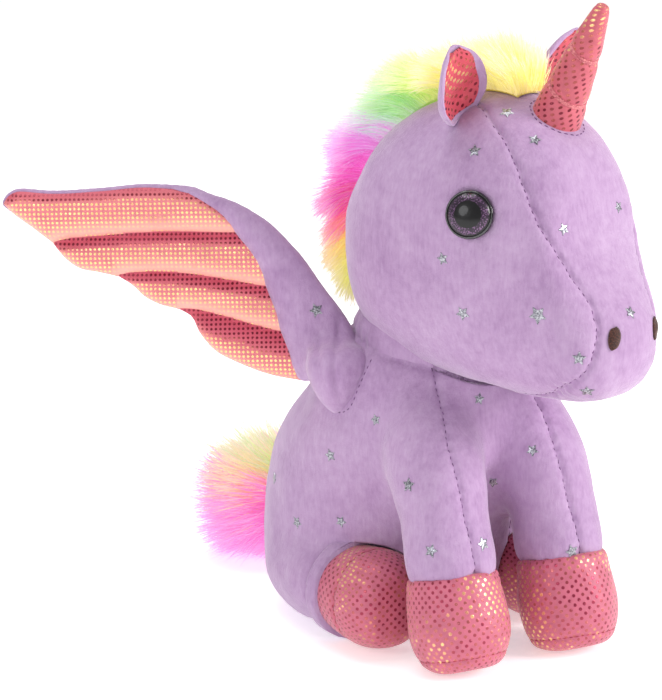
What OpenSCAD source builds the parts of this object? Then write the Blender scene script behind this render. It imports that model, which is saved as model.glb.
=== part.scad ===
// Seated plush unicorn with sewn-on wings: fabric panels over fibre stuffing.
// Origin: centre of the flat seat panel. -Y is the way the toy faces, +X is its left side, +Z is up.

/* [Body] */
// Half width of the torso across the hips
hip_half_w = 50; // [47:1:52]
// Height of the seam between torso and neck
neck_seam_z = 116; // [114:1:118]
// Thickness of the pile fabric
fabric_t = 1.6; // [1.2:0.1:2.2]
// Radius of the flat seat panel
seat_r = 31; // [26:1:32]

/* [Head] */
// Greatest half width of the head
head_half_w = 42; // [38:1:43]
// How far the head is turned to its left as it sits
head_turn = 15; // [0:1:16]
// Half width of the gusset at the forehead
gusset_half_w = 26; // [23:1:28]
// Length of the horn along its axis
horn_l = 52; // [42:1:56]
// Radius of the horn at its base
horn_r = 9.6; // [8:0.2:10.4]
// Radius of the eye's bezel
eye_r = 8.8; // [7:0.2:9]

/* [Legs] */
// Distance of a front leg from the middle
front_leg_x = 25; // [24:0.5:27]
// Distance of a hind leg from the middle
hind_leg_x = 37; // [36:0.5:39]
// Greatest radius of a hoof
hoof_r = 19; // [18:0.5:20]

/* [Wings] */
// Angle that a wing is swept back from straight sideways
wing_sweep = 41; // [38:1:44]
// Thickness of the quilted part of a wing
wing_t = 6; // [5:0.5:8]

/* [Hidden] */
ring_sides = 26;      // sides of every soft ring
plate = 0.12;         // thickness of the ring that a hull starts from
gap = 0.2;            // between neighbouring pieces of one body
joint_gap = 0.7;      // between bodies that move on each other
stuff_gap = fabric_t + gap;
pivot_y = -40;        // the head turns about the upright axis through here
far = 640;            // larger than the toy, for cutting
sides = [["right", -1], ["left", 1]];

// Torso rings from the seat up: height, y of the middle, half width, half depth.
torso_rings = [
  [0, 0, seat_r + 4, seat_r + 6], [4, 0, 0.87 * hip_half_w, 45],
  [12, 1, 0.96 * hip_half_w, 50.5],
  [26, 1, hip_half_w, 54], [42, 0, 1.01 * hip_half_w, 55], [58, -4, hip_half_w, 56],
  [74, -11, 0.97 * hip_half_w, 55], [90, -19, 0.89 * hip_half_w, 48.5], [104, -25, 0.79 * hip_half_w, 41],
  [neck_seam_z, -28, 0.68 * hip_half_w, 34]
];

// Neck rings from the torso's top up.
neck_rings = [
  [neck_seam_z + gap, -28, 0.68 * hip_half_w, 34], [neck_seam_z + 6, -30.5, 33, 33],
  [neck_seam_z + 12, -33, 31, 31], [neck_seam_z + 18, -36, 28, 27], [neck_seam_z + 26, -40, 24, 24]
];

// Torso and neck as one stack.
trunk_rings = concat(torso_rings, [for (k = [1 : 4]) neck_rings[k]]);

// Front leg rings from the hoof seam up into the shoulder: x, y, z, half width, half depth.
leg_lean = 15;
front_leg_rings = [
  [front_leg_x, -77.5, 36, 16.6, 16.6], [front_leg_x, -74, 48, 16.8, 17], [front_leg_x - 1, -69, 62, 18, 19.5],
  [front_leg_x - 2.5, -60.5, 77, 19, 21], [front_leg_x - 5, -51, 92, 17, 18],
  [front_leg_x - 7, -44, 102, 12, 12]
];

// Hind leg rings from the hoof seam back into the hip: y, x, half width, half height.
hind_leg_rings = [
  [-25, hind_leg_x, 17.6, 17.4], [-14, hind_leg_x - 0.5, 19.4, 19.2], [0, hind_leg_x - 2.5, 20.5, 20.3],
  [14, hind_leg_x - 5, 19.4, 20], [26, hind_leg_x - 7, 15, 15.5], [33, hind_leg_x - 8, 8, 9]
];

// Head rings from the back of the head to the nose: forward, lowest z, highest z, half width.
head_rings = [
  [-40, 139, 161, 0.26 * head_half_w], [-36, 128, 173, 0.5 * head_half_w],
  [-29, 118, 185, 0.7 * head_half_w], [-19, 111, 196, 0.87 * head_half_w],
  [-6, 107, 205, 0.975 * head_half_w], [8, 104, 211, head_half_w], [22, 102, 213, head_half_w],
  [34, 101, 212, 0.98 * head_half_w], [44, 100, 208.5, 0.92 * head_half_w],
  [53, 100, 203.5, 0.83 * head_half_w], [60, 100.5, 197, 0.75 * head_half_w],
  [66, 101, 187, 0.69 * head_half_w], [70, 102, 170, 0.655 * head_half_w],
  [75, 103, 156, 0.61 * head_half_w], [80, 105, 147.5, 0.535 * head_half_w],
  [84, 108.5, 141, 0.42 * head_half_w], [87.5, 114, 136, 0.27 * head_half_w],
  [89.5, 120, 131, 0.11 * head_half_w]
];
head_square = 2.4;    // 2 would make the head rings ellipses

// Wing outline in its own plane: distance out from the root, height.
wing_root = [-31, -16];
wing_lead = [[22, 141], [30, 155], [39, 163], [48, 167.5], [61, 170.5], [77, 170], [96, 168], [116, 166.5],
  [127, 167], [132, 165], [134, 162]];
wing_scallops = [[131, 159], [115, 147.5], [110, 141.5], [105, 138], [97, 136.5], [89, 135], [84, 132],
  [79, 127.5], [74, 125], [65.5, 123], [61, 120.5], [58, 114.5], [52, 107.5], [42, 102.5], [30.5, 98.5],
  [20, 97]];
wing_outline = concat(wing_lead, wing_scallops);
// Arm of the wing from its root to the wrist: distance out, height, half width, half thickness, lean.
arm_rings = [
  [8, 100, 12.5, 9, 10], [9.5, 108, 14, 9.5, 16], [13, 117, 12, 9, 24], [18, 126, 9.8, 8.3, 29],
  [28, 144.5, 7.4, 7, 33], [38, 156, 6, 6, 45], [47, 162.5, 4.8, 5, 56], [60, 168, 3, 4, 66]
];
// The wing turns about this upright axis, in the side of the torso.
wing_axis_x = 41;
wing_axis_y = -24;
// The wing's stuffed root, pointed below, as radius and height.
wing_root_profile = [[1, 86], [6, 90], [9.5, 95], [12, 101], [13, 107], [12, 111], [9, 114.2],
  [4, 115.4]];

// ---- general shapes ----

// Thin elliptical plate with its middle at p, tipped about X.
module ring_plate(p, tip, half_w, half_d) {
  translate(p) rotate([tip, 0, 0]) scale([max(half_w, 0.6), max(half_d, 0.6), 1])
    cylinder(r = 1, h = plate, center = true, $fn = ring_sides);
}

// Closed soft solid through a stack of level rings, each [z, y, half width, half depth].
module upright_loft(rings, inset = 0) {
  last = len(rings) - 1;
  lift = function (i) i == 0 ? inset : i == last ? -inset : 0;
  for (i = [0 : last - 1]) hull() {
    for (k = [i, i + 1]) {
      r = rings[k];
      ring_plate([0, r[1], r[0] + lift(k)], 0, r[2] - inset, r[3] - inset);
    }
  }
}

// Point of a rounded ring at angle a, fuller at the corners than an ellipse.
function full_ring(a, half_w, half_h) = [
  half_w * sign(cos(a)) * pow(abs(cos(a)), 2 / head_square),
  half_h * sign(sin(a)) * pow(abs(sin(a)), 2 / head_square)
];

// Closed soft solid along the head, each ring [forward, lowest z, highest z, half width].
module head_loft(inset = 0) {
  last = len(head_rings) - 1;
  push = function (i) i == 0 ? inset : i == last ? -inset : 0;
  for (i = [0 : last - 1]) hull() {
    for (k = [i, i + 1]) {
      r = head_rings[k];
      translate([0, -r[0] - push(k), (r[1] + r[2]) / 2]) rotate([90, 0, 0]) linear_extrude(plate)
        polygon([for (a = [6.9 : 13.846 : 356]) full_ring(a, r[3] - inset, (r[2] - r[1]) / 2 - inset)]);
    }
  }
}

module mirrored(side) {
  scale([side, 1, 1]) children();
}

// Places what is drawn round the upright neck axis with the head as it is turned.
module on_head() {
  translate([0, pivot_y, 0]) rotate([0, 0, head_turn]) children();
}

// Everything on one side of the middle, from x outwards.
module beyond(x, side) {
  translate([side > 0 ? x : -x - far, -far / 2, -far / 2]) cube(far);
}

// ---- torso and neck ----

module front_leg(side, inset = 0) {
  last = len(front_leg_rings) - 1;
  for (i = [0 : last - 1]) hull() {
    for (k = [i, i + 1]) {
      r = front_leg_rings[k];
      up = k == 0 ? inset : 0;
      ring_plate([side * r[0], r[1] + up * sin(leg_lean), r[2] + up * cos(leg_lean)], -leg_lean,
        r[3] - inset, r[4] - inset);
    }
  }
}

module hind_leg(side, inset = 0) {
  last = len(hind_leg_rings) - 1;
  for (i = [0 : last - 1]) hull() {
    for (k = [i, i + 1]) {
      r = hind_leg_rings[k];
      in_y = k == 0 ? inset : k == last ? -inset : 0;
      ring_plate([side * r[1], r[0] + in_y, max(r[3], hind_leg_rings[2][3] - 0.3 * k) + 0.2], 90,
        r[2] - inset, r[3] - inset);
    }
  }
}

// Torso and legs in one, pressed in where the head, the roots of the wings and the hind hooves lie.
module body_form(inset = 0) {
  difference() {
    union() {
      difference() {
        upright_loft(torso_rings, inset);
        for (s = sides) hoof(false, s[1], -gap - inset);
      }
      for (s = sides) {
        front_leg(s[1], inset);
        hind_leg(s[1], inset);
      }
    }
    for (s = sides) wing_root_form(s[1], -joint_gap - inset);
    head_sweep(inset);
  }
}

module body_shell() {
  difference() {
    body_form();
    body_form(fabric_t);
    for (s = sides) {
      leg_mouth(true, s[1], hoof_r - 4.4);
      leg_mouth(false, s[1], hoof_r - 4);
    }
    translate([0, 0, -1]) cylinder(r = seat_r + gap, h = 1 + stuff_gap);
  }
}

// The seam between side panel and chest panel runs down the front of each leg.
module chest_region(grow = 0) {
  translate([0, -18 + grow, 0]) rotate([90, 0, 0]) linear_extrude(far)
    polygon([[-front_leg_x - 1 - grow, -1], [front_leg_x + 1 + grow, -1], [front_leg_x + grow, 36],
      [14 + grow, neck_seam_z + 2], [-14 - grow, neck_seam_z + 2], [-front_leg_x - grow, 36]]);
}

module body_side_panel(side) {
  color("plum") difference() {
    intersection() {
      body_shell();
      beyond(gap / 2, side);
    }
    chest_region(gap);
  }
}

module chest_panel() {
  color("thistle") intersection() {
    body_shell();
    chest_region();
  }
}

module body_stuffing() {
  color("white") body_form(stuff_gap);
}

module seat_panel() {
  color("plum") cylinder(r = seat_r, h = fabric_t);
}

// The head's swept space, so that neck and torso clear it at every turn.
module head_sweep(grow = 0) {
  translate([0, pivot_y, 0]) hull()
    for (turn = [head_turn - 31 : 14.7 : head_turn + 14]) rotate([0, 0, turn]) head_loft(-joint_gap - grow);
}

// Space inside the neck, open at both ends.
module neck_room(inset) {
  upright_loft(concat([[neck_seam_z - 4, -28, 34, 34]], neck_rings, [[neck_seam_z + 29, -40, 24, 24]]),
    inset);
}

module neck_band() {
  color("mediumpurple") difference() {
    upright_loft(neck_rings);
    neck_room(fabric_t);
    head_sweep();
  }
}

module neck_stuffing() {
  color("white") difference() {
    intersection() {
      neck_room(stuff_gap);
      translate([-far / 2, -far / 2, neck_seam_z + 2]) cube([far, far, 22]);
    }
    head_sweep();
  }
}

// ---- legs and hooves ----

hoof_l = 35.5;
hind_seam_y = hind_leg_rings[0][0];
hind_hoof_z = hoof_r + 0.4;

// Opening through the seam of leg and hoof, where the stuffing passes.
module leg_mouth(front, side, r) {
  if (front) translate([side * front_leg_x, -77.5, 36]) rotate([-leg_lean, 0, 0])
    translate([0, 0, -5]) cylinder(r = r, h = 10);
  else translate([side * hind_leg_x, hind_seam_y - 5, hind_hoof_z]) rotate([-90, 0, 0])
    cylinder(r = r, h = 10);
}

// Outline of a hoof, from its closed end up to the seam, as radius and height.
function hoof_profile(in) = [
  [0, in], [hoof_r - 9, in], [hoof_r - 4 - in * 0.5, 3 + in * 0.7], [hoof_r - 1 - in, 8.5],
  [hoof_r - in, 15], [hoof_r - 0.4 - in, 22], [hoof_r - 1.3 - in, 29],
  [hoof_r - 2.4 - in, hoof_l - gap - in * 0.5], [0, hoof_l - gap - in * 0.5]
];

module front_hoof(side, in = 0) {
  difference() {
    translate([side * front_leg_x, -77.5, 36]) rotate([-leg_lean, 0, 0]) translate([0, 0, -36])
      rotate_extrude() polygon(hoof_profile(in));
    translate([-far / 2, -far / 2, in - far]) cube(far);
    translate([side * front_leg_x, -77.5, 36]) rotate([-leg_lean, 0, 0])
      translate([-40, -40, -gap / 2]) cube(80);
  }
}

module hind_hoof(side, in = 0) {
  difference() {
    translate([side * hind_leg_x, hind_seam_y - hoof_l, hind_hoof_z]) rotate([-90, 0, 0])
      rotate_extrude() polygon(hoof_profile(in));
    translate([-far / 2, -far / 2, in - far]) cube(far);
  }
}

front_sole_t = 5;
hind_sole_t = 17;
// Space of the sole: under a front hoof, and over the forward end of a hind hoof.
module sole_space(front, grow) {
  if (front) translate([-far / 2, -far / 2, front_sole_t + grow - far]) cube(far);
  else translate([-far / 2, hind_seam_y - hoof_l + hind_sole_t + grow - far, -far / 2]) cube(far);
}

module hoof(front, side, in = 0) {
  if (front) front_hoof(side, in);
  else hind_hoof(side, in);
}

module hoof_cup(front, side) {
  color("hotpink") difference() {
    hoof(front, side);
    hoof(front, side, fabric_t);
    sole_space(front, gap);
    leg_mouth(front, side, hoof_r - 4.4);
  }
}

module hoof_sole(front, side) {
  color("deeppink") intersection() {
    difference() {
      hoof(front, side);
      hoof(front, side, fabric_t);
    }
    sole_space(front, 0);
  }
}

module hoof_stuffing(front, side) {
  color("white") hoof(front, side, stuff_gap);
}

// ---- head ----

eye_forward = 39;
eye_z = 172;
eye_seat_x = 36.2;
eye_yaw = 28;       // the eye faces this far forward of straight sideways
eye_pitch = 12;     // and this far up
shank_r = 2.2;

// Places a part on the head with its axis out through an eye.
module at_eye(side) {
  on_head() translate([side * eye_seat_x, -eye_forward, eye_z])
    rotate([0, 0, side > 0 ? -eye_yaw : 180 + eye_yaw]) rotate([0, 90 - eye_pitch, 0]) children();
}

module eye_holes(r) {
  for (s = sides) at_eye(s[1]) translate([0, 0, -16]) cylinder(r = r, h = 22);
}

module head_shell() {
  difference() {
    on_head() head_loft();
    on_head() head_loft(fabric_t);
    eye_holes(shank_r + gap);
    for (s = sides) at_eye(s[1]) cylinder(r = eye_r + gap, h = 12);
    horn_seat(gap);
    for (s = sides) nostril_form(s[1], gap);
  }
}

// The gusset runs over the head, widest at the forehead and narrow at the nose.
module gusset_region(grow = 0) {
  w = gusset_half_w + grow;
  on_head() translate([0, far / 2, 0]) rotate([90, 0, 0]) linear_extrude(far)
    polygon([[-w + 10, 90], [w - 10, 90], [w - 10, 134], [w - 4, 152], [w, 172], [w, 186], [w - 3, 200],
      [w - 6, 225], [6 - w, 225], [3 - w, 200], [-w, 186], [-w, 172], [4 - w, 152], [10 - w, 134]]);
}

module head_side_panel(side) {
  color("plum") difference() {
    intersection() {
      head_shell();
      on_head() beyond(2, side);
    }
    gusset_region(gap);
  }
}

module head_gusset() {
  color("orchid") intersection() {
    head_shell();
    gusset_region();
  }
}

module head_stuffing() {
  color("white") difference() {
    on_head() head_loft(stuff_gap);
    eye_holes(7.5);
    for (s = sides) at_eye(s[1]) cylinder(r = eye_r + gap, h = 12);
    horn_seat(gap);
  }
}

// The eye: a domed disc with a ribbed shank that goes through the fabric.
module eye(side) {
  color("black") at_eye(side) {
    rotate_extrude() polygon([[0, 0.2], [eye_r, 0.2], [eye_r, 1.6], [0.93 * eye_r, 2.8], [0.75 * eye_r, 4.2],
      [0.5 * eye_r, 5.2], [0.25 * eye_r, 5.8], [0, 6]]);
    translate([0, 0, -13]) cylinder(r = shank_r, h = 13.4);
  }
}

// The lock washer pressed onto the shank behind the fabric.
module eye_washer(side) {
  color("gainsboro") at_eye(side) difference() {
    union() {
      translate([0, 0, -9.5]) cylinder(r = 6.5, h = 1.4);
      translate([0, 0, -11.5]) cylinder(r = 4, h = 3);
    }
    translate([0, 0, -13]) cylinder(r = shank_r + 0.02, h = 8);
  }
}

nostril_forward = 86.5;
nostril_x = 12;
nostril_z = 130;
// Embroidered oval of satin stitches.
module nostril_form(side, grow = 0) {
  on_head() translate([side * nostril_x, -nostril_forward, nostril_z])
    rotate([0, 0, side * 30]) rotate([90, 0, 0]) translate([0, 0, -grow]) scale([0.6, 1, 1])
    cylinder(r = 4.4 + grow * 1.6, h = 1.4 + grow);
}

module nostril(side) {
  color("saddlebrown") nostril_form(side);
}

horn_forward = 46.5;
horn_z = 200;
horn_tip_angle = 26; // lean of the horn towards the nose
module at_horn() {
  on_head() translate([0, -horn_forward, horn_z]) rotate([horn_tip_angle, 0, 0]) children();
}

function horn_profile(in) = [
  [0, in], [horn_r - in, in], [0.97 * horn_r - in, 0.12 * horn_l], [0.72 * horn_r - in, 0.5 * horn_l],
  [0.46 * horn_r - in, 0.82 * horn_l], [0.3 * horn_r - in * 0.5, 0.94 * horn_l],
  [0.12 * horn_r, 0.99 * horn_l - in], [0, horn_l - in]
];

// Pocket in the forehead that the horn's open end is sewn over.
module horn_seat(grow) {
  at_horn() translate([0, 0, -grow]) cylinder(r = horn_r + grow, h = 30);
}

module horn_cover() {
  color("hotpink") at_horn() difference() {
    rotate_extrude() polygon(horn_profile(0));
    rotate_extrude() polygon(horn_profile(0.9));
    translate([0, 0, -0.1]) cylinder(r = horn_r - 0.9, h = 1.4);
  }
}

module horn_stuffing() {
  color("white") at_horn() rotate_extrude() polygon(horn_profile(0.9 + gap));
}

// Loops of thread wound round the horn, seen as rings that slant round it.
module horn_thread() {
  color("pink") at_horn() for (k = [0.3, 0.62]) translate([0, 0, k * horn_l]) rotate([14, 0, 0])
    rotate_extrude() translate([horn_r * (1.06 - 0.62 * k) + 0.7, 0]) circle(r = 0.3);
}

mane_half_w = 11;
mane_lift = 15;
mane_back_t = 1.4;
// The strip along the back of the head that the mane is sewn on, from forelock to nape.
module mane_region(half_w) {
  on_head() translate([-half_w, 0, 0]) rotate([90, 0, 90]) linear_extrude(2 * half_w)
    polygon([[-36, 206], [-31, 220], [-22, 232], [-8, 240], [90, 240], [90, 144], [31, 144], [30, 150],
      [10, 175]]);
}

module mane_backing() {
  color("khaki") intersection() {
    difference() {
      on_head() head_loft(-gap - mane_back_t);
      on_head() head_loft(-gap);
      horn_seat(1);
    }
    mane_region(mane_half_w - 4);
  }
}

module mane_pile() {
  color("yellow") intersection() {
    difference() {
      on_head() head_loft(-mane_lift);
      on_head() head_loft(-gap * 2 - mane_back_t);
      horn_seat(2);
    }
    mane_region(mane_half_w);
  }
}

// ---- ears ----

ear_x = 24.5;
ear_forward = 25;
ear_z = 206;
ear_h = 27;
ear_w = 10;
ear_root_r = 2.6;
// Places the ear with its root along the hinge line across the head.
module at_ear(side) {
  on_head() translate([side * ear_x, -ear_forward, ear_z]) rotate([0, side * 24, 0]) children();
}

// Cupped leaf of the ear, hollow towards the front.
module ear_leaf(inner, outer, top) {
  intersection() {
    difference() {
      translate([0, -4, 0]) scale([1, 0.8, 1]) cylinder(r = outer, h = ear_h);
      translate([0, -4, -1]) scale([1, 0.8, 1]) cylinder(r = inner, h = ear_h + 2);
      translate([-20, -44, -1]) cube([40, 36, ear_h + 2]);
    }
    translate([0, 20, 0]) rotate([90, 0, 0]) linear_extrude(40)
      polygon([[-4, 1.5], [4, 1.5], [8, 6], [ear_w, 12], [ear_w, 17], [7.5, top - 5], [3.5, top - 1], [0, top],
        [-3.5, top - 1], [-7.5, top - 5], [-ear_w, 17], [-ear_w, 12], [-8, 6]]);
  }
}

module ear_shell(side) {
  color("plum") at_ear(side) {
    translate([0, 0, 4.2]) ear_leaf(ear_w - 1.6, ear_w, ear_h);
    translate([-7, 0, 5]) rotate([0, 90, 0]) cylinder(r = ear_root_r, h = 14);
  }
}

module ear_lining(side) {
  color("hotpink") at_ear(side) translate([0, 0, 4.2]) difference() {
    ear_leaf(ear_w - 2.8, ear_w - 1.6 - gap, ear_h - 2);
    translate([-8, 4 - gap, -3]) cube([16, 8, 7.5]);
    translate([-8, 0, 0.8]) rotate([0, 90, 0]) cylinder(r = ear_root_r + gap, h = 16);
  }
}

// ---- wings ----

// Draws a wing in its own plane: X out from the root, Y up, thickness along Z.
module at_wing(side) {
  mirrored(-side) translate([wing_root[0], wing_root[1], 0]) rotate([0, 0, 180 - wing_sweep])
    rotate([90, 0, 0]) children();
}

module wing_root_form(side, inset = 0) {
  last = len(wing_root_profile) - 1;
  translate([side * wing_axis_x, wing_axis_y, 0]) rotate_extrude()
    polygon(concat([[0, wing_root_profile[0][1] + inset]],
      [for (k = [0 : last]) [max(wing_root_profile[k][0] - inset, 0.3),
        wing_root_profile[k][1] + inset * (k < 2 ? 1 : k > 5 ? -1 : 0)]],
      [[0, wing_root_profile[last][1] - inset]]));
}

module wing_arm_form(side, inset = 0) {
  wing_root_form(side, inset);
  difference() {
    wing_arm_run(side, inset);
    torso_room(side, inset);
  }
}

module arm_ring(side, k, inset) {
  r = arm_rings[k];
  up = k == 0 ? inset : k == len(arm_rings) - 1 ? -inset : 0;
  at_wing(side) translate([r[0], r[1] + up, 0]) rotate([0, 0, -r[4]]) rotate([90, 0, 0])
    scale([max(r[2] - inset, 0.6), max(r[3] - inset, 0.6), 1])
    cylinder(r = 1, h = 1, center = true, $fn = 18);
}

module wing_arm_run(side, inset) {
  for (i = [0 : len(arm_rings) - 2]) hull() {
    arm_ring(side, i, inset);
    arm_ring(side, i + 1, inset);
  }
  hull() {
    translate([side * wing_axis_x, wing_axis_y, 102]) cylinder(r = 11 - inset, h = 8, $fn = 24);
    arm_ring(side, 1, inset + 0.3);
    arm_ring(side, 3, inset + 0.3);
  }
}

module wing_arm(side) {
  color("plum") difference() {
    wing_arm_form(side);
    wing_arm_form(side, fabric_t);
    wing_arm_mouth(side);
  }
}

// Opening of the root towards the torso, where the stuffing goes in.
module wing_arm_mouth(side) {
  translate([side * wing_axis_x, wing_axis_y, 103]) rotate([0, -side * 90, 0]) cylinder(r = 5, h = 20);
}

module wing_arm_stuffing(side) {
  color("white") wing_arm_form(side, stuff_gap);
}

// The space that torso and neck take, seen from the wing over the whole of its swing.
module torso_room(side, grow = 0) {
  for (turn = [-21, 0, 21]) translate([side * wing_axis_x, wing_axis_y, 0]) rotate([0, 0, turn])
    translate([-side * wing_axis_x, -wing_axis_y, 0]) upright_loft(trunk_rings, -joint_gap - grow);
}

module wing_layer(side, from, to, in = 0) {
  difference() {
    at_wing(side) translate([0, 0, from]) linear_extrude(to - from) offset(delta = -in) polygon(wing_outline);
    wing_arm_run(side, -gap);
    wing_root_form(side, -gap);
    torso_room(side);
  }
}

cloth_t = 1.2;
module wing_membrane(side) {
  color("salmon") wing_layer(side, -wing_t / 2, -wing_t / 2 + cloth_t);
}

module wing_back(side) {
  color("plum") wing_layer(side, wing_t / 2 - cloth_t, wing_t / 2);
}

module wing_batting(side) {
  color("white") wing_layer(side, -wing_t / 2 + cloth_t + gap, wing_t / 2 - cloth_t - gap, 2);
}

// ---- tail ----

tail_root = [0, 57, 27];
tail_aside = 24;      // the tail lies this far to the right of straight back
module at_tail() {
  translate(tail_root) rotate([0, 0, tail_aside]) rotate([-95, 0, 0]) children();
}

module tail_core() {
  color("plum") at_tail() rotate_extrude()
    polygon([[0, 0], [3, 0.6], [4.5, 3], [4.5, 14], [3, 19], [0, 20]]);
}

module tail_pile() {
  color("magenta") difference() {
    at_tail() rotate_extrude()
      polygon([[0, 4], [7, 4], [13, 11], [18, 22], [20.5, 34], [19, 46], [12, 57], [5, 61], [0, 62]]);
    at_tail() cylinder(r = 4.5 + gap, h = 20 + gap);
    translate([-far / 2, -far / 2, 0.3 - far]) cube(far);
  }
}

seat_panel();
chest_panel();
body_stuffing();
neck_band();
neck_stuffing();
head_gusset();
head_stuffing();
horn_cover();
horn_stuffing();
horn_thread();
mane_backing();
mane_pile();
tail_core();
tail_pile();
for (s = sides) {
  name = s[0];
  side = s[1];
  body_side_panel(side);
  head_side_panel(side);
  for (place = ["front", "hind"]) {
    front = place == "front";
    hoof_cup(front, side);
    hoof_sole(front, side);
    hoof_stuffing(front, side);
  }
  eye(side);
  eye_washer(side);
  nostril(side);
  ear_shell(side);
  ear_lining(side);
  wing_arm(side);
  wing_arm_stuffing(side);
  wing_membrane(side);
  wing_back(side);
  wing_batting(side);
}
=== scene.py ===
"""Looks of the seated plush unicorn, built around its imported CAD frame.

Lengths are in millimetres until a mesh is made.
"""

import math

import bpy
import numpy as np
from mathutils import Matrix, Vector
from mathutils.bvhtree import BVHTree
from mathutils.geometry import delaunay_2d_cdt


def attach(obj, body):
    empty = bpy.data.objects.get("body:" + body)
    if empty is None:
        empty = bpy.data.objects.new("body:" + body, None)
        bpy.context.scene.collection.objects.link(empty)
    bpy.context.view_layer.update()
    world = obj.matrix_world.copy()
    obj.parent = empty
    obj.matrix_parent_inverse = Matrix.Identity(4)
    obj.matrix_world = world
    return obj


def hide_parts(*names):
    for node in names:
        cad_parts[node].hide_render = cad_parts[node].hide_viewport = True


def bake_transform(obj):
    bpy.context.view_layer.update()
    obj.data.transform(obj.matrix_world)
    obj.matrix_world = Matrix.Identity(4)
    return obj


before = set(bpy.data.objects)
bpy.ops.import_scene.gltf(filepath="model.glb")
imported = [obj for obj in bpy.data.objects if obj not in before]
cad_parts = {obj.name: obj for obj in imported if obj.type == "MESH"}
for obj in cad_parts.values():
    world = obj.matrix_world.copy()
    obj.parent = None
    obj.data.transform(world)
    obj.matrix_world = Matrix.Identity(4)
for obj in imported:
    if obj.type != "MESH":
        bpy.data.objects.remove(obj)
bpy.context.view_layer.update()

MM = 0.001
scene = bpy.context.scene

# ---------------------------------------------------------------- numbers and curves


def vec(*v):
    return np.array(v, float)


def unit(v):
    v = np.asarray(v, float)
    return v / np.maximum(np.linalg.norm(v, axis=-1, keepdims=True), 1e-12)


def smoothstep(lo, hi, x):
    t = np.clip((np.asarray(x, float) - lo) / (hi - lo), 0, 1)
    return t * t * (3 - 2 * t)


def curve(xs, rows, x):
    """Smooth curve through rows at the places xs, without overshoot, read at x."""
    xs, rows, x = np.asarray(xs, float), np.asarray(rows, float), np.asarray(x, float)
    flat = rows.ndim == 1
    if flat:
        rows = rows[:, None]
    d = np.diff(xs)[:, None]
    s = np.diff(rows, axis=0) / d
    m = np.zeros_like(rows)
    m[0], m[-1] = s[0], s[-1]
    mid = (s[:-1] * d[1:] + s[1:] * d[:-1]) / (d[:-1] + d[1:])
    cap = 3 * np.minimum(abs(s[:-1]), abs(s[1:]))
    m[1:-1] = np.where(s[:-1] * s[1:] > 0, np.clip(mid, -cap, cap), 0)
    q = np.clip(x, xs[0], xs[-1])
    i = np.clip(np.searchsorted(xs, q, side="right") - 1, 0, len(xs) - 2)
    h = (xs[i + 1] - xs[i])[..., None]
    t = ((q - xs[i])[..., None]) / h
    out = (
        (1 + 2 * t) * (1 - t) ** 2 * rows[i]
        + t * (1 - t) ** 2 * h * m[i]
        + t * t * (3 - 2 * t) * rows[i + 1]
        + t * t * (t - 1) * h * m[i + 1]
    )
    return out[..., 0] if flat else out


def resampled(rows, n):
    """n rows along a smooth curve through a table of rows, evenly spread."""
    rows = np.asarray(rows, float)
    t = np.concatenate([[0], np.cumsum(np.linalg.norm(np.diff(rows, axis=0), axis=1))])
    return curve(t, rows, np.linspace(0, t[-1], n))


def lattice(seed):
    return np.random.default_rng(seed).standard_normal((17, 17, 17))


def wobble(p, size, seed):
    """Smooth noise from about -1 to 1, with bumps of the given size."""
    g = lattice(seed)
    q = np.asarray(p, float) / size + 40
    i = np.floor(q).astype(int)
    f = q - i
    f = f * f * (3 - 2 * f)
    out = 0
    for a in (0, 1):
        for b in (0, 1):
            for c in (0, 1):
                w = (
                    (f[..., 0] if a else 1 - f[..., 0])
                    * (f[..., 1] if b else 1 - f[..., 1])
                    * (f[..., 2] if c else 1 - f[..., 2])
                )
                out = out + w * g[(i[..., 0] + a) % 17, (i[..., 1] + b) % 17, (i[..., 2] + c) % 17]
    return out * 0.8


# ---------------------------------------------------------------- meshes


def tube(rings, caps=True):
    """Vertices and faces of a skin through closed rings, an array of n rings of m points."""
    rings = np.asarray(rings, float)
    n, m = rings.shape[:2]
    a = (np.arange(n - 1)[:, None] * m + np.arange(m)[None]).ravel()
    b = (np.arange(n - 1)[:, None] * m + (np.arange(m)[None] + 1) % m).ravel()
    faces = np.stack([a, b, b + m, a + m], -1).tolist()
    verts = rings.reshape(-1, 3)
    if caps:
        verts = np.vstack([verts, rings[0].mean(0), rings[-1].mean(0)])
        for k in range(m):
            faces.append([n * m, (k + 1) % m, k])
            faces.append([n * m + 1, (n - 1) * m + k, (n - 1) * m + (k + 1) % m])
    return verts, faces


def joined(*parts):
    verts, faces, at = [], [], 0
    for v, f in parts:
        verts.append(np.asarray(v, float))
        faces += [[i + at for i in q] for q in f]
        at += len(v)
    return np.vstack(verts), faces


def make(name, verts, faces, smooth=True):
    me = bpy.data.meshes.new(name)
    me.from_pydata((np.asarray(verts, float) * MM).tolist(), [], faces if isinstance(faces, list)
                   else faces.tolist())
    me.polygons.foreach_set("use_smooth", np.full(len(me.polygons), smooth))
    me.update()
    o = bpy.data.objects.new(name, me)
    scene.collection.objects.link(o)
    return o


def points(o):
    co = np.zeros(len(o.data.vertices) * 3)
    o.data.vertices.foreach_get("co", co)
    return co.reshape(-1, 3) / MM


def put(o, p):
    o.data.vertices.foreach_set("co", (np.asarray(p) * MM).ravel())
    o.data.update()


def normals(o):
    n = np.zeros(len(o.data.vertices) * 3)
    o.data.vertices.foreach_get("normal", n)
    return n.reshape(-1, 3)


def apply(o):
    """Makes the modifiers' result the mesh."""
    old = o.data
    me = bpy.data.meshes.new_from_object(o.evaluated_get(bpy.context.evaluated_depsgraph_get()))
    o.modifiers.clear()
    o.data = me
    me.name = old.name
    bpy.data.meshes.remove(old)
    me.polygons.foreach_set("use_smooth", np.full(len(me.polygons), True))
    return o


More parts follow.
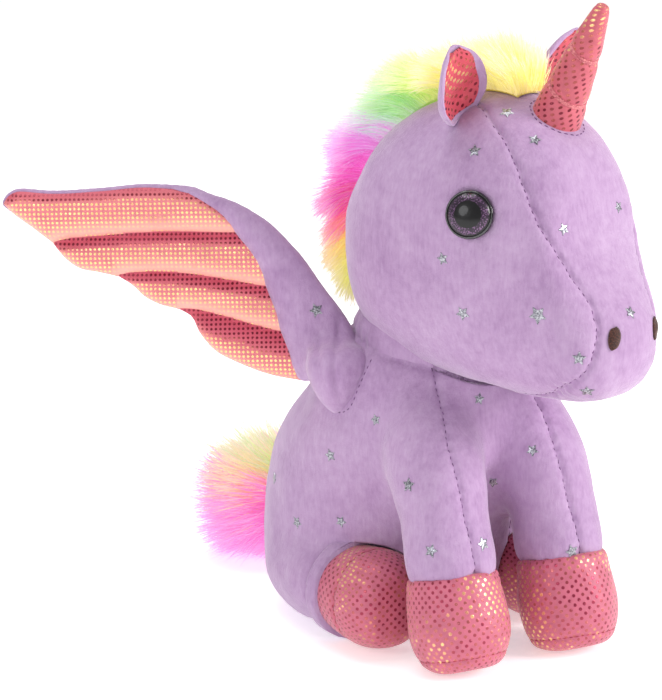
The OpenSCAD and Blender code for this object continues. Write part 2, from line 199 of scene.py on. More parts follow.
def remeshed(o, voxel, smoothing):
    m = o.modifiers.new("voxels", "REMESH")
    m.mode, m.voxel_size = "VOXEL", voxel * MM
    if smoothing:
        s = o.modifiers.new("soften", "SMOOTH")
        s.factor, s.iterations = 0.5, smoothing
    return apply(o)


def subdivided(o, levels):
    m = o.modifiers.new("finer", "SUBSURF")
    m.levels = m.render_levels = levels
    return apply(o)


def puffed(o, free, pressure, cap, frames=16):
    """Swells a closed cover like a stuffed one: cloth under pressure, held where free is 0, moved cap at most."""
    rest = points(o)
    pin = o.vertex_groups.new(name="held")
    for w in range(11):
        ids = np.nonzero(np.round((1 - free) * 10).astype(int) == w)[0].tolist()
        if ids and w:
            pin.add(ids, w / 10, "REPLACE")
    m = o.modifiers.new("stuffing", "CLOTH")
    s = m.settings
    s.quality, s.mass = 6, 0.25
    s.tension_stiffness = s.compression_stiffness = 12
    s.bending_stiffness = 0.4
    s.use_pressure, s.uniform_pressure_force = True, pressure
    s.vertex_group_mass = "held"
    s.effector_weights.gravity = 0
    m.collision_settings.use_collision = False
    m.point_cache.frame_start, m.point_cache.frame_end = 1, frames
    for f in range(1, frames + 1):
        scene.frame_set(f)
    e = o.evaluated_get(bpy.context.evaluated_depsgraph_get())
    co = np.zeros(len(rest) * 3)
    e.data.vertices.foreach_get("co", co)
    o.modifiers.clear()
    o.vertex_groups.clear()
    move = co.reshape(-1, 3) / MM - rest
    far = np.linalg.norm(move, axis=1, keepdims=True)
    put(o, rest + move / np.maximum(far, 1e-9) * cap * np.tanh(far / cap))
    scene.frame_set(1)
    return o


def give_map(o, uv):
    """Sets the cloth's own map from a place for each vertex."""
    loops = np.zeros(len(o.data.loops), int)
    o.data.loops.foreach_get("vertex_index", loops)
    o.data.uv_layers.new(name="cloth").data.foreach_set("uv", uv[loops].ravel())


def grid_faces(rows, cols):
    k = np.arange(rows * cols).reshape(rows, cols)
    return np.stack([k[:-1, :-1], k[:-1, 1:], k[1:, 1:], k[1:, :-1]], -1).reshape(-1, 4).tolist()


def bvh(*objs):
    verts, polys, at = [], [], 0
    for o in objs:
        p = points(o)
        verts.append(p)
        polys += [[i + at for i in q.vertices] for q in o.data.polygons]
        at += len(p)
    return BVHTree.FromPolygons(np.vstack(verts).tolist(), polys)


def on_surface(tree, p):
    co, n, _, _ = tree.find_nearest(Vector(p))
    return np.array(co), np.array(n)


def field_slope(fn, p, n):
    """How fast fn changes along the surface with normals n, per millimetre."""
    e = 0.05
    g = np.stack([(fn(p + e * d) - fn(p - e * d)) / (2 * e) for d in np.eye(3)], -1)
    g -= (g * n).sum(1, keepdims=True) * n
    return np.maximum(np.linalg.norm(g, axis=1), 0.05)


def seam_distance(fn, ok, p, n):
    """Distance along the surface to the line where fn is 0, where ok says that the seam runs."""
    d = abs(fn(p)) / field_slope(fn, p, n)
    return np.where(ok(p), d, 99.0)


def seam_chains(o, fn, ok):
    """Lines of points with normals where fn is 0 on a mesh."""
    p, n = points(o), normals(o)
    g, good = fn(p), ok(p)
    found = {}
    for f in o.data.polygons:
        ids = list(f.vertices)
        if not all(good[i] for i in ids):
            continue
        s = [g[i] > 0 for i in ids]
        if all(s) or not any(s):
            continue
        cut = []
        for k in range(len(ids)):
            a, b = ids[k], ids[(k + 1) % len(ids)]
            if (g[a] > 0) != (g[b] > 0):
                key = (min(a, b), max(a, b))
                t = g[key[0]] / (g[key[0]] - g[key[1]])
                cut.append((key, p[key[0]] * (1 - t) + p[key[1]] * t, n[key[0]] * (1 - t) + n[key[1]] * t))
        if len(cut) == 2:
            for x, y in (cut, cut[::-1]):
                found.setdefault(x[0], [x, []])[1].append(y[0])
    chains, seen = [], set()
    ends = [k for k in sorted(found) if len(found[k][1]) == 1] + sorted(found)
    for start in ends:
        if start in seen:
            continue
        line, at = [], start
        while at is not None:
            seen.add(at)
            line.append(found[at][0])
            at = next((k for k in found[at][1] if k not in seen), None)
        if len(line) > 4:
            chains.append((np.array([x[1] for x in line]), unit(np.array([x[2] for x in line]))))
    return chains


def along(p, n, step):
    """Points and normals at even steps along a line, with the direction of the line."""
    d = np.concatenate([[0], np.cumsum(np.linalg.norm(np.diff(p, axis=0), axis=1))])
    s = np.arange(step * 0.5, d[-1], step)
    at = np.stack([np.interp(s, d, p[:, k]) for k in range(3)], -1)
    nn = unit(np.stack([np.interp(s, d, n[:, k]) for k in range(3)], -1))
    ahead = np.stack([np.interp(s + 0.8, d, p[:, k]) - np.interp(s - 0.8, d, p[:, k]) for k in range(3)], -1)
    return at, nn, unit(ahead)


def capsules(at, n, ahead, length, radius, bow=0.0, sides=6):
    """Short threads with rounded ends, pressed in at both ends by bow."""
    prof = [(-0.5, 0.25), (-0.42, 0.75), (-0.2, 1), (0.2, 1), (0.42, 0.75), (0.5, 0.25)]
    side = unit(np.cross(n, ahead))
    ang = np.arange(sides) * 2 * math.pi / sides
    parts = []
    for q, nn, t, s in zip(at, n, ahead, side):
        rings = [
            q + t * length * a - nn * bow * (2 * a) ** 2
            + radius * r * (np.cos(ang)[:, None] * s + np.sin(ang)[:, None] * nn)
            for a, r in prof
        ]
        parts.append(tube(np.array(rings)))
    return joined(*parts)


# ---------------------------------------------------------------- materials


class Nodes:
    """Short names for building a material's node tree."""

    def __init__(self, name):
        self.mat = bpy.data.materials.new(name)
        self.mat.use_nodes = True
        self.t = self.mat.node_tree
        self.bsdf = next(n for n in self.t.nodes if n.type == "BSDF_PRINCIPLED")

    def link(self, a, b):
        self.t.links.new(a, b)

    def set(self, socket, value):
        if isinstance(value, bpy.types.NodeSocket):
            self.link(value, socket)
        elif value is not None:
            socket.default_value = value

    def surface(self, **k):
        for name, value in k.items():
            self.set(self.bsdf.inputs[name.replace("_", " ")], value)

    def place(self):
        return self.t.nodes.new("ShaderNodeTexCoord").outputs["Object"]

    def uv(self, name="cloth"):
        n = self.t.nodes.new("ShaderNodeUVMap")
        n.uv_map = name
        return n.outputs["UV"]

    def attribute(self, name):
        n = self.t.nodes.new("ShaderNodeAttribute")
        n.attribute_name = name
        return n.outputs["Fac"]

    def mapped(self, v, scale=(1, 1, 1), turn=(0, 0, 0), shift=(0, 0, 0)):
        n = self.t.nodes.new("ShaderNodeMapping")
        self.link(v, n.inputs["Vector"])
        n.inputs["Scale"].default_value = scale
        n.inputs["Rotation"].default_value = turn
        n.inputs["Location"].default_value = shift
        return n.outputs["Vector"]

    def noise(self, v, scale, detail=2.0, rough=0.5, distort=0.0):
        n = self.t.nodes.new("ShaderNodeTexNoise")
        self.link(v, n.inputs["Vector"])
        n.inputs["Scale"].default_value = scale
        n.inputs["Detail"].default_value = detail
        n.inputs["Roughness"].default_value = rough
        n.inputs["Distortion"].default_value = distort
        return n.outputs["Fac"]

    def cells(self, v, scale, out="Distance"):
        n = self.t.nodes.new("ShaderNodeTexVoronoi")
        self.link(v, n.inputs["Vector"])
        n.inputs["Scale"].default_value = scale
        return n.outputs[out]

    def math(self, op, a, b=None, c=None, clamp=False):
        n = self.t.nodes.new("ShaderNodeMath")
        n.operation, n.use_clamp = op, clamp
        for s, v in zip(n.inputs, (a, b, c)):
            self.set(s, v)
        return n.outputs[0]

    def vector_math(self, op, a, b=None, out=0):
        n = self.t.nodes.new("ShaderNodeVectorMath")
        n.operation = op
        for s, v in zip(n.inputs, (a, b)):
            self.set(s, v)
        return n.outputs[out]

    def span(self, v, a, b, lo=0.0, hi=1.0):
        n = self.t.nodes.new("ShaderNodeMapRange")
        n.interpolation_type = "SMOOTHSTEP"
        for s, x in zip(n.inputs, (v, a, b, lo, hi)):
            self.set(s, x)
        return n.outputs[0]

    def ramp(self, v, stops):
        n = self.t.nodes.new("ShaderNodeValToRGB")
        self.link(v, n.inputs[0])
        e = n.color_ramp.elements
        while len(e) < len(stops):
            e.new(0.5)
        for x, (at, colour) in zip(e, stops):
            x.position, x.color = at, (*colour, 1)
        return n.outputs[0]

    def mix(self, f, a, b):
        n = self.t.nodes.new("ShaderNodeMix")
        n.data_type = "RGBA"
        self.set(n.inputs["Factor"], f)
        for s, v in ((n.inputs[6], a), (n.inputs[7], b)):
            self.set(s, (*v, 1) if isinstance(v, tuple) and len(v) == 3 else v)
        return n.outputs[2]

    def bump(self, height, distance, strength=1.0, under=None):
        n = self.t.nodes.new("ShaderNodeBump")
        self.link(height, n.inputs["Height"])
        n.inputs["Distance"].default_value = distance * MM
        n.inputs["Strength"].default_value = strength
        if under is not None:
            self.link(under, n.inputs["Normal"])
        return n.outputs["Normal"]


def srgb(r, g, b):
    return tuple((c / 255 / 12.92) if c <= 10 else ((c / 255 + 0.055) / 1.055) ** 2.4 for c in (r, g, b))


def plush(name, deep, middle, light, shift=(0, 0, 0), turn=0.6):
    """Short brushed pile: nap that lies this way and that, a faint knit under it, and a pale sheen."""
    m = Nodes(name)
    at = m.mapped(m.place(), shift=shift)
    brushed = m.noise(at, 34, 3, 0.55, 0.6)
    mottled = m.noise(at, 260, 2, 0.6)
    streaks = m.noise(m.mapped(at, scale=(1, 1, 0.22), turn=(0.5, turn, 0.2)), 900, 2, 0.7)
    rows = m.noise(m.mapped(at, scale=(0.25, 1, 1), turn=(0.3, 0.5, turn)), 700, 1, 0.5)
    value = m.math("MULTIPLY_ADD", brushed, 0.42, m.math("MULTIPLY", mottled, 0.3))
    value = m.math("ADD", value, m.math("MULTIPLY", streaks, 0.3))
    colour = m.ramp(value, [(0.3, deep), (0.5, middle), (0.72, light)])
    fine = m.noise(at, 2600, 2, 0.7)
    height = m.math("MULTIPLY_ADD", streaks, 0.9,
                    m.math("MULTIPLY_ADD", fine, 0.8, m.math("MULTIPLY", rows, 0.7)))
    m.surface(Base_Color=colour, Roughness=m.span(mottled, 0.3, 0.7, 0.72, 0.9),
              Normal=m.bump(height, 0.24, 0.8))
    m.surface(Specular_IOR_Level=0.12, Sheen_Weight=0.62, Sheen_Roughness=0.36,
              Sheen_Tint=(1.0, 0.93, 1.0, 1))
    return m.mat


def foil(name, base, dark, pitch, dot, turn=math.pi / 4, worn=0.5, pleated=False):
    """Pink fabric printed with a grid of gold foil dots; each dot is painted glinting gold or dark by a noise, a
    painted reflection. Pleated, it also gets painted shade under each fold and a painted pale band of light above
    the next.
    """
    m = Nodes(name)
    uv = m.mapped(m.uv(), turn=(0, 0, turn))
    grid = m.mapped(uv, scale=(1 / pitch, 1 / pitch, 1))
    from_centre = m.vector_math("SUBTRACT", m.vector_math("FRACTION", grid), (0.5, 0.5, 0))
    reach = m.vector_math("LENGTH", m.vector_math("MULTIPLY", from_centre, (1, 1, 0)), out="Value")
    r = dot / pitch
    mask = m.span(reach, r + 0.07, r - 0.05)
    chance = m.t.nodes.new("ShaderNodeTexWhiteNoise")
    chance.noise_dimensions = "3D"
    m.link(m.vector_math("FLOOR", grid), chance.inputs["Vector"])
    at = m.place()
    # painted glint: noise patches decide which dots are painted bright gold and which dark, in place of real
    # reflection
    patch = m.noise(at, 45, 2, 0.55)
    painted_glint = m.math("MULTIPLY_ADD", chance.outputs["Value"], 0.18, m.math("MULTIPLY", patch, 1.1))
    cloth = m.mix(m.span(m.noise(at, 320, 3, 0.6), 0.35, 0.68, 0.0, 0.4), base, tuple(0.72 * c for c in base))
    if pleated:
        # painted shade and light on the puffed wing, by distance to the folds
        under, over = m.attribute("under"), m.attribute("over")
        # painted shade: dots stay dark just under the fold above
        painted_glint = m.math("ADD", m.math("MULTIPLY", painted_glint, 0.4), m.span(under, 2.2, 5.5, 0.1, 0.6))
        # painted light: a pale salmon band just above the fold below
        cloth = m.mix(m.span(over, 1.0, 9.0, 0.75, 0.0), cloth, srgb(250, 186, 168))
        # painted shade: dark red cloth just under the fold above
        cloth = m.mix(m.span(under, 1.2, 6.5, 0.9, 0.0), cloth, srgb(196, 66, 92))
        # the dots fade out in the painted pale band
        mask = m.math("MULTIPLY", mask, m.span(over, 1.0, 6.0, 0.12, 1.0))
    copper = tuple(0.5 * a + 0.5 * b for a, b in zip(base, srgb(200, 120, 84)))
    # dot colours of the painted glint: dark, then copper, then bright gold
    gold = m.ramp(painted_glint, [(0.5, dark), (0.66, copper), (0.8, srgb(255, 212, 142))])
    weave = m.noise(uv, 2.6, 2, 0.6)
    gone = m.math("MULTIPLY", mask, m.span(m.noise(at, 900, 2, 0.7), 0.30, 0.36 + 0.05 * worn))
    m.surface(Base_Color=m.mix(gone, cloth, gold), Metallic=m.math("MULTIPLY", gone, 0.55))
    m.surface(Roughness=m.mix(gone, (0.52, 0.52, 0.52), (0.24, 0.24, 0.24)))
    tilt = m.bump(m.noise(at, 420, 2, 0.5), 0.35, 0.7)
    m.surface(Normal=m.bump(m.math("MULTIPLY_ADD", gone, 0.5, m.math("MULTIPLY", weave, 0.5)), 0.16, 0.8,
                            tilt))
    m.surface(Specular_IOR_Level=0.45, Sheen_Weight=0.25, Sheen_Roughness=0.4, Sheen_Tint=(1, 0.8, 0.8, 1))
    return m.mat


def fur(name, stops, tips, tip_share=0.6):
    """Long pile whose dyed colour changes along the strip, paler and drier at the tips, with painted shade at the
    roots and a faint painted glow.
    """
    m = Nodes(name)
    zone, run = m.attribute("zone"), m.attribute("run")
    dyed = m.ramp(zone, stops)
    # painted shade: the strip is darker, toward deep magenta, near its roots, where the fibres shade each other
    painted_root_shade = m.mix(m.span(run, 0.0, 0.4, 0.3, 0.0), dyed, m.mix(0.35, dyed, (0.6, 0.1, 0.3)))
    pale = m.mix(m.math("MULTIPLY", m.span(run, 0.55, 1.0), tip_share), painted_root_shade, tips)
    grain = m.noise(m.place(), 1500, 2, 0.6)
    m.surface(Base_Color=m.mix(m.span(grain, 0.35, 0.7, 0.0, 0.16), pale, (0.9, 0.85, 0.9)))
    m.surface(Roughness=m.span(grain, 0.3, 0.7, 0.42, 0.62), Specular_IOR_Level=0.35)
    m.surface(Sheen_Weight=1.0, Sheen_Roughness=0.6, Normal=m.bump(grain, 0.05, 0.5))
    # painted light: a faint glow in the fibres' own colour stands in for light passing through them
    m.surface(Emission_Color=pale, Emission_Strength=0.2)
    return m.mat


def moulded(name, colour, rough, coat=0.0, grain=0.05, scale=700):
    """Plastic with a faint mould texture and fine scratches."""
    m = Nodes(name)
    at = m.place()
    fine = m.noise(at, scale, 3, 0.6)
    marks = m.noise(m.mapped(at, scale=(1, 14, 1), turn=(0.3, 0.2, 0.7)), 160, 2, 0.6)
    m.surface(Base_Color=m.mix(m.span(fine, 0.35, 0.7, 0.0, 0.2), colour,
                               tuple(min(1, 1.4 * c + 0.01) for c in colour)))
    m.surface(Roughness=m.span(marks, 0.45, 0.75, rough, rough + 0.12), Normal=m.bump(fine, grain, 0.5))
    m.surface(Coat_Weight=coat, Coat_Roughness=0.03, Specular_IOR_Level=0.5)
    return m.mat


def thread(name, colour, light, pitch=0.9):
    """Twisted sewing thread."""
    m = Nodes(name)
    at = m.place()
    ply = m.noise(m.mapped(at, scale=(1, 0.3, 1), turn=(0.8, 0.4, 0.3)), 1000 / pitch, 2, 0.6)
    m.surface(Base_Color=m.mix(m.span(ply, 0.35, 0.65), colour, light),
              Roughness=m.span(ply, 0.3, 0.7, 0.45, 0.65))
    m.surface(Normal=m.bump(ply, 0.12, 0.8), Sheen_Weight=0.3, Sheen_Roughness=0.4, Specular_IOR_Level=0.3)
    return m.mat


LILAC = (srgb(156, 122, 163), srgb(176, 145, 182), srgb(192, 165, 197))
side_plush = plush("plush_side", *LILAC)
chest_plush = plush("plush_chest", *LILAC, shift=(0.4, 0.1, 0.7), turn=0.9)
left_plush = plush("plush_left", *LILAC, shift=(0.9, 0.5, 0.2), turn=-0.5)
head_plush = plush("plush_head", *LILAC, shift=(0.2, 0.8, 0.5), turn=0.8)
gusset_plush = plush("plush_gusset", *LILAC, shift=(0.7, 0.3, 0.1), turn=-0.2)
wing_plush = plush("plush_wing", *LILAC, shift=(0.1, 0.6, 0.9), turn=0.3)
hoof_foil = foil("foil_hoof", srgb(198, 102, 124), srgb(150, 44, 70), 2.45, 0.62)
horn_foil = foil("foil_horn", srgb(196, 92, 106), srgb(118, 28, 46), 2.5, 0.62)
wing_foil = foil("foil_wing", srgb(228, 124, 134), srgb(120, 24, 44), 1.75, 0.5, 0.04, 0.2, True)
ear_foil = foil("foil_ear", srgb(200, 70, 88), srgb(120, 20, 42), 2.5, 0.66)
seam_thread = thread("thread_purple", srgb(84, 46, 92), srgb(120, 76, 128))
nose_thread = thread("thread_brown", srgb(38, 20, 18), srgb(92, 54, 44), 0.5)
pink_thread = thread("thread_pink", srgb(180, 80, 96), srgb(224, 140, 142), 0.6)
red_thread = thread("thread_red", srgb(140, 26, 54), srgb(196, 70, 92))
black_plastic = moulded("eye_black", srgb(14, 12, 18), 0.1, 1.0)
washer_plastic = moulded("washer_white", srgb(214, 214, 210), 0.4, 0.0, 0.12)


def silver_stars():
    m = Nodes("foil_silver")
    at = m.place()
    creased = m.noise(at, 1500, 2, 0.6)
    m.surface(Base_Color=m.mix(m.span(creased, 0.4, 0.7), srgb(118, 118, 126), srgb(196, 196, 204)),
              Metallic=0.8)
    m.surface(Roughness=m.span(creased, 0.3, 0.7, 0.22, 0.42),
              Normal=m.bump(m.noise(at, 700, 2, 0.6), 0.3, 0.8))
    return m.mat


star_foil = silver_stars()


def glitter_iris():
    """Dark purple glitter round a black pupil, under a gloss; 'ring' is the share of the radius."""
    m = Nodes("eye_glitter")
    ring, at = m.attribute("ring"), m.place()
    spark = m.cells(at, 2600, "Color")
    pick = m.t.nodes.new("ShaderNodeSeparateColor")
    m.link(spark, pick.inputs[0])
    glint = m.span(pick.outputs[0], 0.62, 0.9)
    violet = m.mix(glint, srgb(44, 28, 48), srgb(124, 92, 128))
    band = m.math("MULTIPLY", m.span(ring, 0.60, 0.645), m.span(ring, 0.93, 0.88))
    m.surface(Base_Color=m.mix(band, srgb(9, 8, 11), violet), Roughness=0.3)
    m.surface(Metallic=m.math("MULTIPLY", band, m.math("MULTIPLY", glint, 0.7)))
    m.surface(Coat_Weight=0.4, Coat_Roughness=0.02, Specular_IOR_Level=0.25,
              Normal=m.bump(pick.outputs[1], 0.03, 0.4))
    return m.mat


eye_glitter = glitter_iris()


def finished(o, mat, body=None, replaces=()):
    """Gives a piece its material and what the frame has to know about it."""
    o.data.materials.clear()
    o.data.materials.append(mat)
    if body:
        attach(o, body)
    if replaces:
        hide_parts(*replaces)
    return o


# ---------------------------------------------------------------- places on the toy

TURN = math.radians(15)
RIGHT = vec(math.cos(TURN), math.sin(TURN), 0)
BACK = vec(-math.sin(TURN), math.cos(TURN), 0)
UP = vec(0, 0, 1)
NECK = vec(0, -40, 0)
SIDES = (("right", -1), ("left", 1))


def from_head(p):
    """Row frame point of one drawn on the head before it is turned: across, backwards, up."""
    p = np.asarray(p, float)
    return NECK + p[..., :1] * RIGHT + p[..., 1:2] * BACK + p[..., 2:] * UP


def head_dir(d):
    d = np.asarray(d, float)
    return d[..., :1] * RIGHT + d[..., 1:2] * BACK + d[..., 2:] * UP


def to_head(p):
    q = np.asarray(p, float) - NECK
    return np.stack([q @ RIGHT, q @ BACK, q[..., 2]], -1)


def around(n, power=2.0):
    a = (np.arange(n) + 0.5) * 2 * math.pi / n
    c, s = np.cos(a), np.sin(a)
    return np.sign(c) * abs(c) ** (2 / power), np.sign(s) * abs(s) ** (2 / power)


# ---------------------------------------------------------------- torso, neck and legs

TRUNK = [
    [0, 0, 35, 37], [4, 0, 43.5, 45], [12, 1, 48, 50.5], [26, 1, 50, 54], [42, 0, 50.5, 55], [58, -4, 50, 56],
    [74, -11, 48.5, 55], [90, -19, 44.5, 48.5], [104, -25, 39.5, 41], [116, -28, 34,
                                                                       34], [122, -30.5, 33, 33],
    [128, -33, 31, 31], [134, -36, 28, 27], [142, -40, 24, 24],
]
FRONT_LEG = [
    [25, -77.5, 36, 16.6, 16.6], [25, -74, 48, 16.8, 17], [24, -69, 62, 18, 19.5], [22.5, -60.5, 77, 19, 21],
    [20, -51, 92, 17, 18], [18, -44, 102, 12, 12],
]
HIND_LEG = [
    [-25, 37, 17.6, 17.4, 20.5], [-14, 36.5, 19.4, 19.2, 20.2], [0, 34.5, 20.5, 20.3, 20.5],
    [14, 32, 19.4, 20, 20.2], [26, 30, 15, 15.5, 19.3], [33, 29, 8, 9, 19.0],
]
LEAN = math.radians(15)
LEG_UP = vec(0, math.sin(LEAN), math.cos(LEAN))
LEG_BACK = vec(0, math.cos(LEAN), -math.sin(LEAN))
FRONT_HOOF_H = 36
LEG_FOOT = vec(25, -77.5, FRONT_HOOF_H)
HIND_HOOF = vec(37, -60.5, 19.4)
HIND_HOOF_R = 19.6
ANKLE_R = 16.9


def trunk():
    x, y = around(72)
    return tube(np.array([
        np.stack([hw * x, yc + hd * y, np.full(72, z)], -1) for z, yc, hw, hd in resampled(TRUNK, 60)
    ]))


def front_leg(side):
    x, y = around(48)
    rows = resampled(FRONT_LEG, 26)
    return tube(np.array([
        vec(side * cx, cy, cz) + (hw * x)[:, None] * vec(1, 0, 0) + (hd * y)[:, None] * LEG_BACK
        for cx, cy, cz, hw, hd in rows
    ]))


def hind_leg(side):
    x, z = around(48)
    return tube(np.array([
        np.stack([side * cx + hw * x, np.full(48, cy), cz + hh * z], -1)
        for cy, cx, hw, hh, cz in resampled(HIND_LEG, 26)
    ]))


CHEST_Z = [0, 36, 52, 63, 73, 83, 90, 99, 108, 118]
CHEST_R = [24, 24.4, 25, 26.4, 26.5, 26.5, 24.5, 21, 19.5, 17]
CHEST_L = [25, 24.2, 22.3, 20.4, 19.6, 19.3, 19.4, 18.6, 17.5, 15]


def chest_right(p):
    return p[:, 0] + curve(CHEST_Z, CHEST_R, p[:, 2])


def chest_left(p):
    return p[:, 0] - curve(CHEST_Z, CHEST_L, p[:, 2])


def in_front(p):
    return (p[:, 1] < -20) & (p[:, 2] > 3)


def back_seam(p):
    return p[:, 0]


def behind(p):
    return (p[:, 1] > 6) & (p[:, 2] > 3)


def neck_line(p):
    return p[:, 2] - (119.8 + 0.184 * p[:, 1])


def everywhere(p):
    return p[:, 2] > 90


HEAD_RINGS = [
    [-40, 139, 161, 10.9], [-36, 128, 173, 21], [-29, 118, 185, 29.4], [-19, 111, 196,
                                                                        36.5], [-6, 107, 205, 41],
    [8, 104, 211, 42], [22, 102, 213, 42], [34, 101, 212, 41.2], [44, 100, 208.5,
                                                                  38.6], [53, 100, 203.5, 34.9],
    [60, 100.5, 197, 31.5], [66, 101, 187, 29], [70, 102, 170, 27.5], [75, 103, 156,
                                                                       25.6], [80, 105, 147.5, 22.5],
    [84, 108.5, 141, 17.6], [87.5, 114, 136, 11.3], [89.5, 120, 131, 4.6],
]
HEAD_F = [r[0] for r in HEAD_RINGS]


def head_share(q, grow=0.0):
    """Below 1 inside the head, for points in head axes."""
    low, high, hw = curve(HEAD_F, [r[1:] for r in HEAD_RINGS], -q[:, 1]).T
    inside = (-q[:, 1] > HEAD_F[0] - grow) & (-q[:, 1] < HEAD_F[-1] + grow)
    v = abs(q[:, 0] / (hw + grow)) ** 2.4 + abs((q[:, 2] - (low + high) / 2)
                                                / ((high - low) / 2 + grow)) ** 2.4
    return np.where(inside, v, 9.0)


def clear_of_head(p, gap):
    """Height of the head's underside over or under each point, less a gap, or 999 beside the head."""
    q = to_head(p)
    low, high, hw = curve(HEAD_F, [r[1:] for r in HEAD_RINGS], -q[:, 1]).T
    edge = np.clip(1 - abs(q[:, 0] / (hw + 0.5)) ** 2.4, 0, 1) ** (1 / 2.4)
    floor = (low + high) / 2 - (high - low) / 2 * edge - gap
    return np.where((-q[:, 1] > HEAD_F[0]) & (-q[:, 1] < HEAD_F[-1]) & (edge > 0), floor, 999.0)


def body_cover():
    o = make("body_cover", *joined(trunk(), front_leg(-1), front_leg(1), hind_leg(-1), hind_leg(1)))
    remeshed(o, 3.6, 5)
    p, n = points(o), normals(o)
    p = p - n * smoothstep(2, 8, p[:, 2])[:, None] * 0.9
    put(o, p)
    n = normals(o)
    d = np.min([
        seam_distance(chest_right, in_front, p, n), seam_distance(chest_left, in_front, p, n),
        seam_distance(back_seam, behind, p, n), seam_distance(neck_line, everywhere, p, n),
    ], 0)
    for _, s in SIDES:
        foot = abs((p - LEG_FOOT * vec(s, 1, 1)) @ LEG_UP) + np.where(p[:, 1] > -55, 99, 0)
        d = np.minimum(d, np.minimum(foot, np.where(p[:, 0] * s > 12, abs(p[:, 1] + 25), 99)
                                     + np.where(p[:, 2] > 42, 99, 0)))
    puffed(o, smoothstep(1.5, 7, d) * smoothstep(0.5, 6, p[:, 2]), 4.0, 1.7)
    subdivided(o, 2)
    p, n = points(o), normals(o)
    d = np.min([
        seam_distance(chest_right, in_front, p, n), seam_distance(chest_left, in_front, p, n),
        seam_distance(back_seam, behind, p, n),
    ], 0)
    dn = seam_distance(neck_line, everywhere, p, n)
    pucker = 0.5 + 0.5 * np.sin(2 * math.pi * p[:, 2] / 4.6 + 2 * wobble(p, 9, 3))
    p = p - n * (np.exp(-((d / 1.25) ** 2)) * (0.95 + 0.35 * pucker) + np.exp(-((d / 3.6) ** 2)) * 0.32
                 * pucker)[:, None]
    swing = np.arctan2(p[:, 0], p[:, 1] + 30) * 34
    pucker = 0.5 + 0.5 * np.sin(2 * math.pi * swing / 6.2 + 2 * wobble(p, 11, 4))
    p = p - n * (np.exp(-((dn / 1.8) ** 2)) * 1.25 + np.exp(-((dn / 5) ** 2)) * 0.5 * pucker)[:, None]
    p = p + n * (0.42 * wobble(p, 13, 5) + 0.16 * wobble(p, 5.5, 6))[:, None]
    floor = clear_of_head(p, 0.5)
    p[:, 2] = np.where((p[:, 2] > floor) & (p[:, 2] < floor + 22) & (dn > 0.0) & (neck_line(p) < 1), floor,
                       p[:, 2])
    for _, s in SIDES:
        centre = HIND_HOOF * vec(s, 0, 1)
        q = p - centre
        r = np.hypot(q[:, 0], q[:, 2])
        inside = (p[:, 1] < -25.5) & (p[:, 1] > -61) & (r < HIND_HOOF_R) & (r > 1)
        out = HIND_HOOF_R / np.maximum(r, 1)
        for k in (0, 2):
            p[:, k] = np.where(inside, centre[k] + q[:, k] * out, p[:, k])
    p[:, 2] = np.maximum(p[:, 2], 0.25)
    put(o, p)
    return o


def middles(o):
    p = points(o)
    return np.array([p[list(f.vertices)].mean(0) for f in o.data.polygons])


def split(o, parts):
    """Cuts a mesh into pieces, {name: which faces}. The first that has a face keeps it, and None drops it."""
    p = points(o)
    faces = [list(f.vertices) for f in o.data.polygons]
    layer = o.data.uv_layers.get("cloth")
    uv = np.zeros(len(o.data.loops) * 2)
    if layer:
        layer.data.foreach_get("uv", uv)
    uv = [uv.reshape(-1, 2)[f.loop_start:f.loop_start + f.loop_total] for f in o.data.polygons]
    left = np.ones(len(faces), bool)
    made = {}
    for name, which in parts.items():
        mine = which & left
        left &= ~mine
        if name is None:
            continue
        ids = np.nonzero(mine)[0]
        used = np.unique(np.concatenate([faces[i] for i in ids]))
        index = {int(v): k for k, v in enumerate(used)}
        made[name] = make(name, p[used], [[index[v] for v in faces[i]] for i in ids])
        if layer:
            cut = np.concatenate([uv[i] for i in ids])
            made[name].data.uv_layers.new(name="cloth").data.foreach_set("uv", cut.ravel())
    bpy.data.objects.remove(o)
    return made


def snap(o, fn, ok, reach):
    """Slides the points nearest a seam onto it, so that a cut along it is smooth."""
    p, n = points(o), normals(o)
    e = 0.05
    g = np.stack([(fn(p + e * d) - fn(p - e * d)) / (2 * e) for d in np.eye(3)], -1)
    g -= (g * n).sum(1, keepdims=True) * n
    step = -fn(p)[:, None] * g / np.maximum((g * g).sum(1, keepdims=True), 1e-4)
    far = np.linalg.norm(step, axis=1)
    put(o, p + step * ((far < reach) & ok(p))[:, None])


body = body_cover()
p = points(body)
for side_name, side in SIDES:
    q = p - LEG_FOOT * vec(side, 1, 1)
    h, x, y = FRONT_HOOF_H + q @ LEG_UP, q[:, 0], q @ LEG_BACK
    r = np.hypot(x, y)
    near = (h < 62) & (r < 23) & (h > 20)
    ankle = near & (h > 38) & (h < 43) & (r > 9)
    grow = np.clip(ANKLE_R / max(np.percentile(r[ankle], 80), 8), 1.0, 1.16)
    spread = (x[:, None] * vec(1, 0, 0) + y[:, None] * LEG_BACK) * (grow - 1)
    lower = near * 3.6 * (1 - smoothstep(37, 46, h))
    p = p + (near * (1 - smoothstep(38, 58, h)))[:, None] * spread - lower[:, None] * LEG_UP
put(body, p)
for fn, ok in ((chest_right, in_front), (chest_left, in_front), (back_seam, behind), (neck_line, everywhere)):
    snap(body, fn, ok, 0.5)
body_seams = [
    c for fn, ok in ((chest_right, in_front), (chest_left, in_front), (back_seam, behind))
    for c in seam_chains(body, fn, ok)
]
body_tree = bvh(body)
m = middles(body)
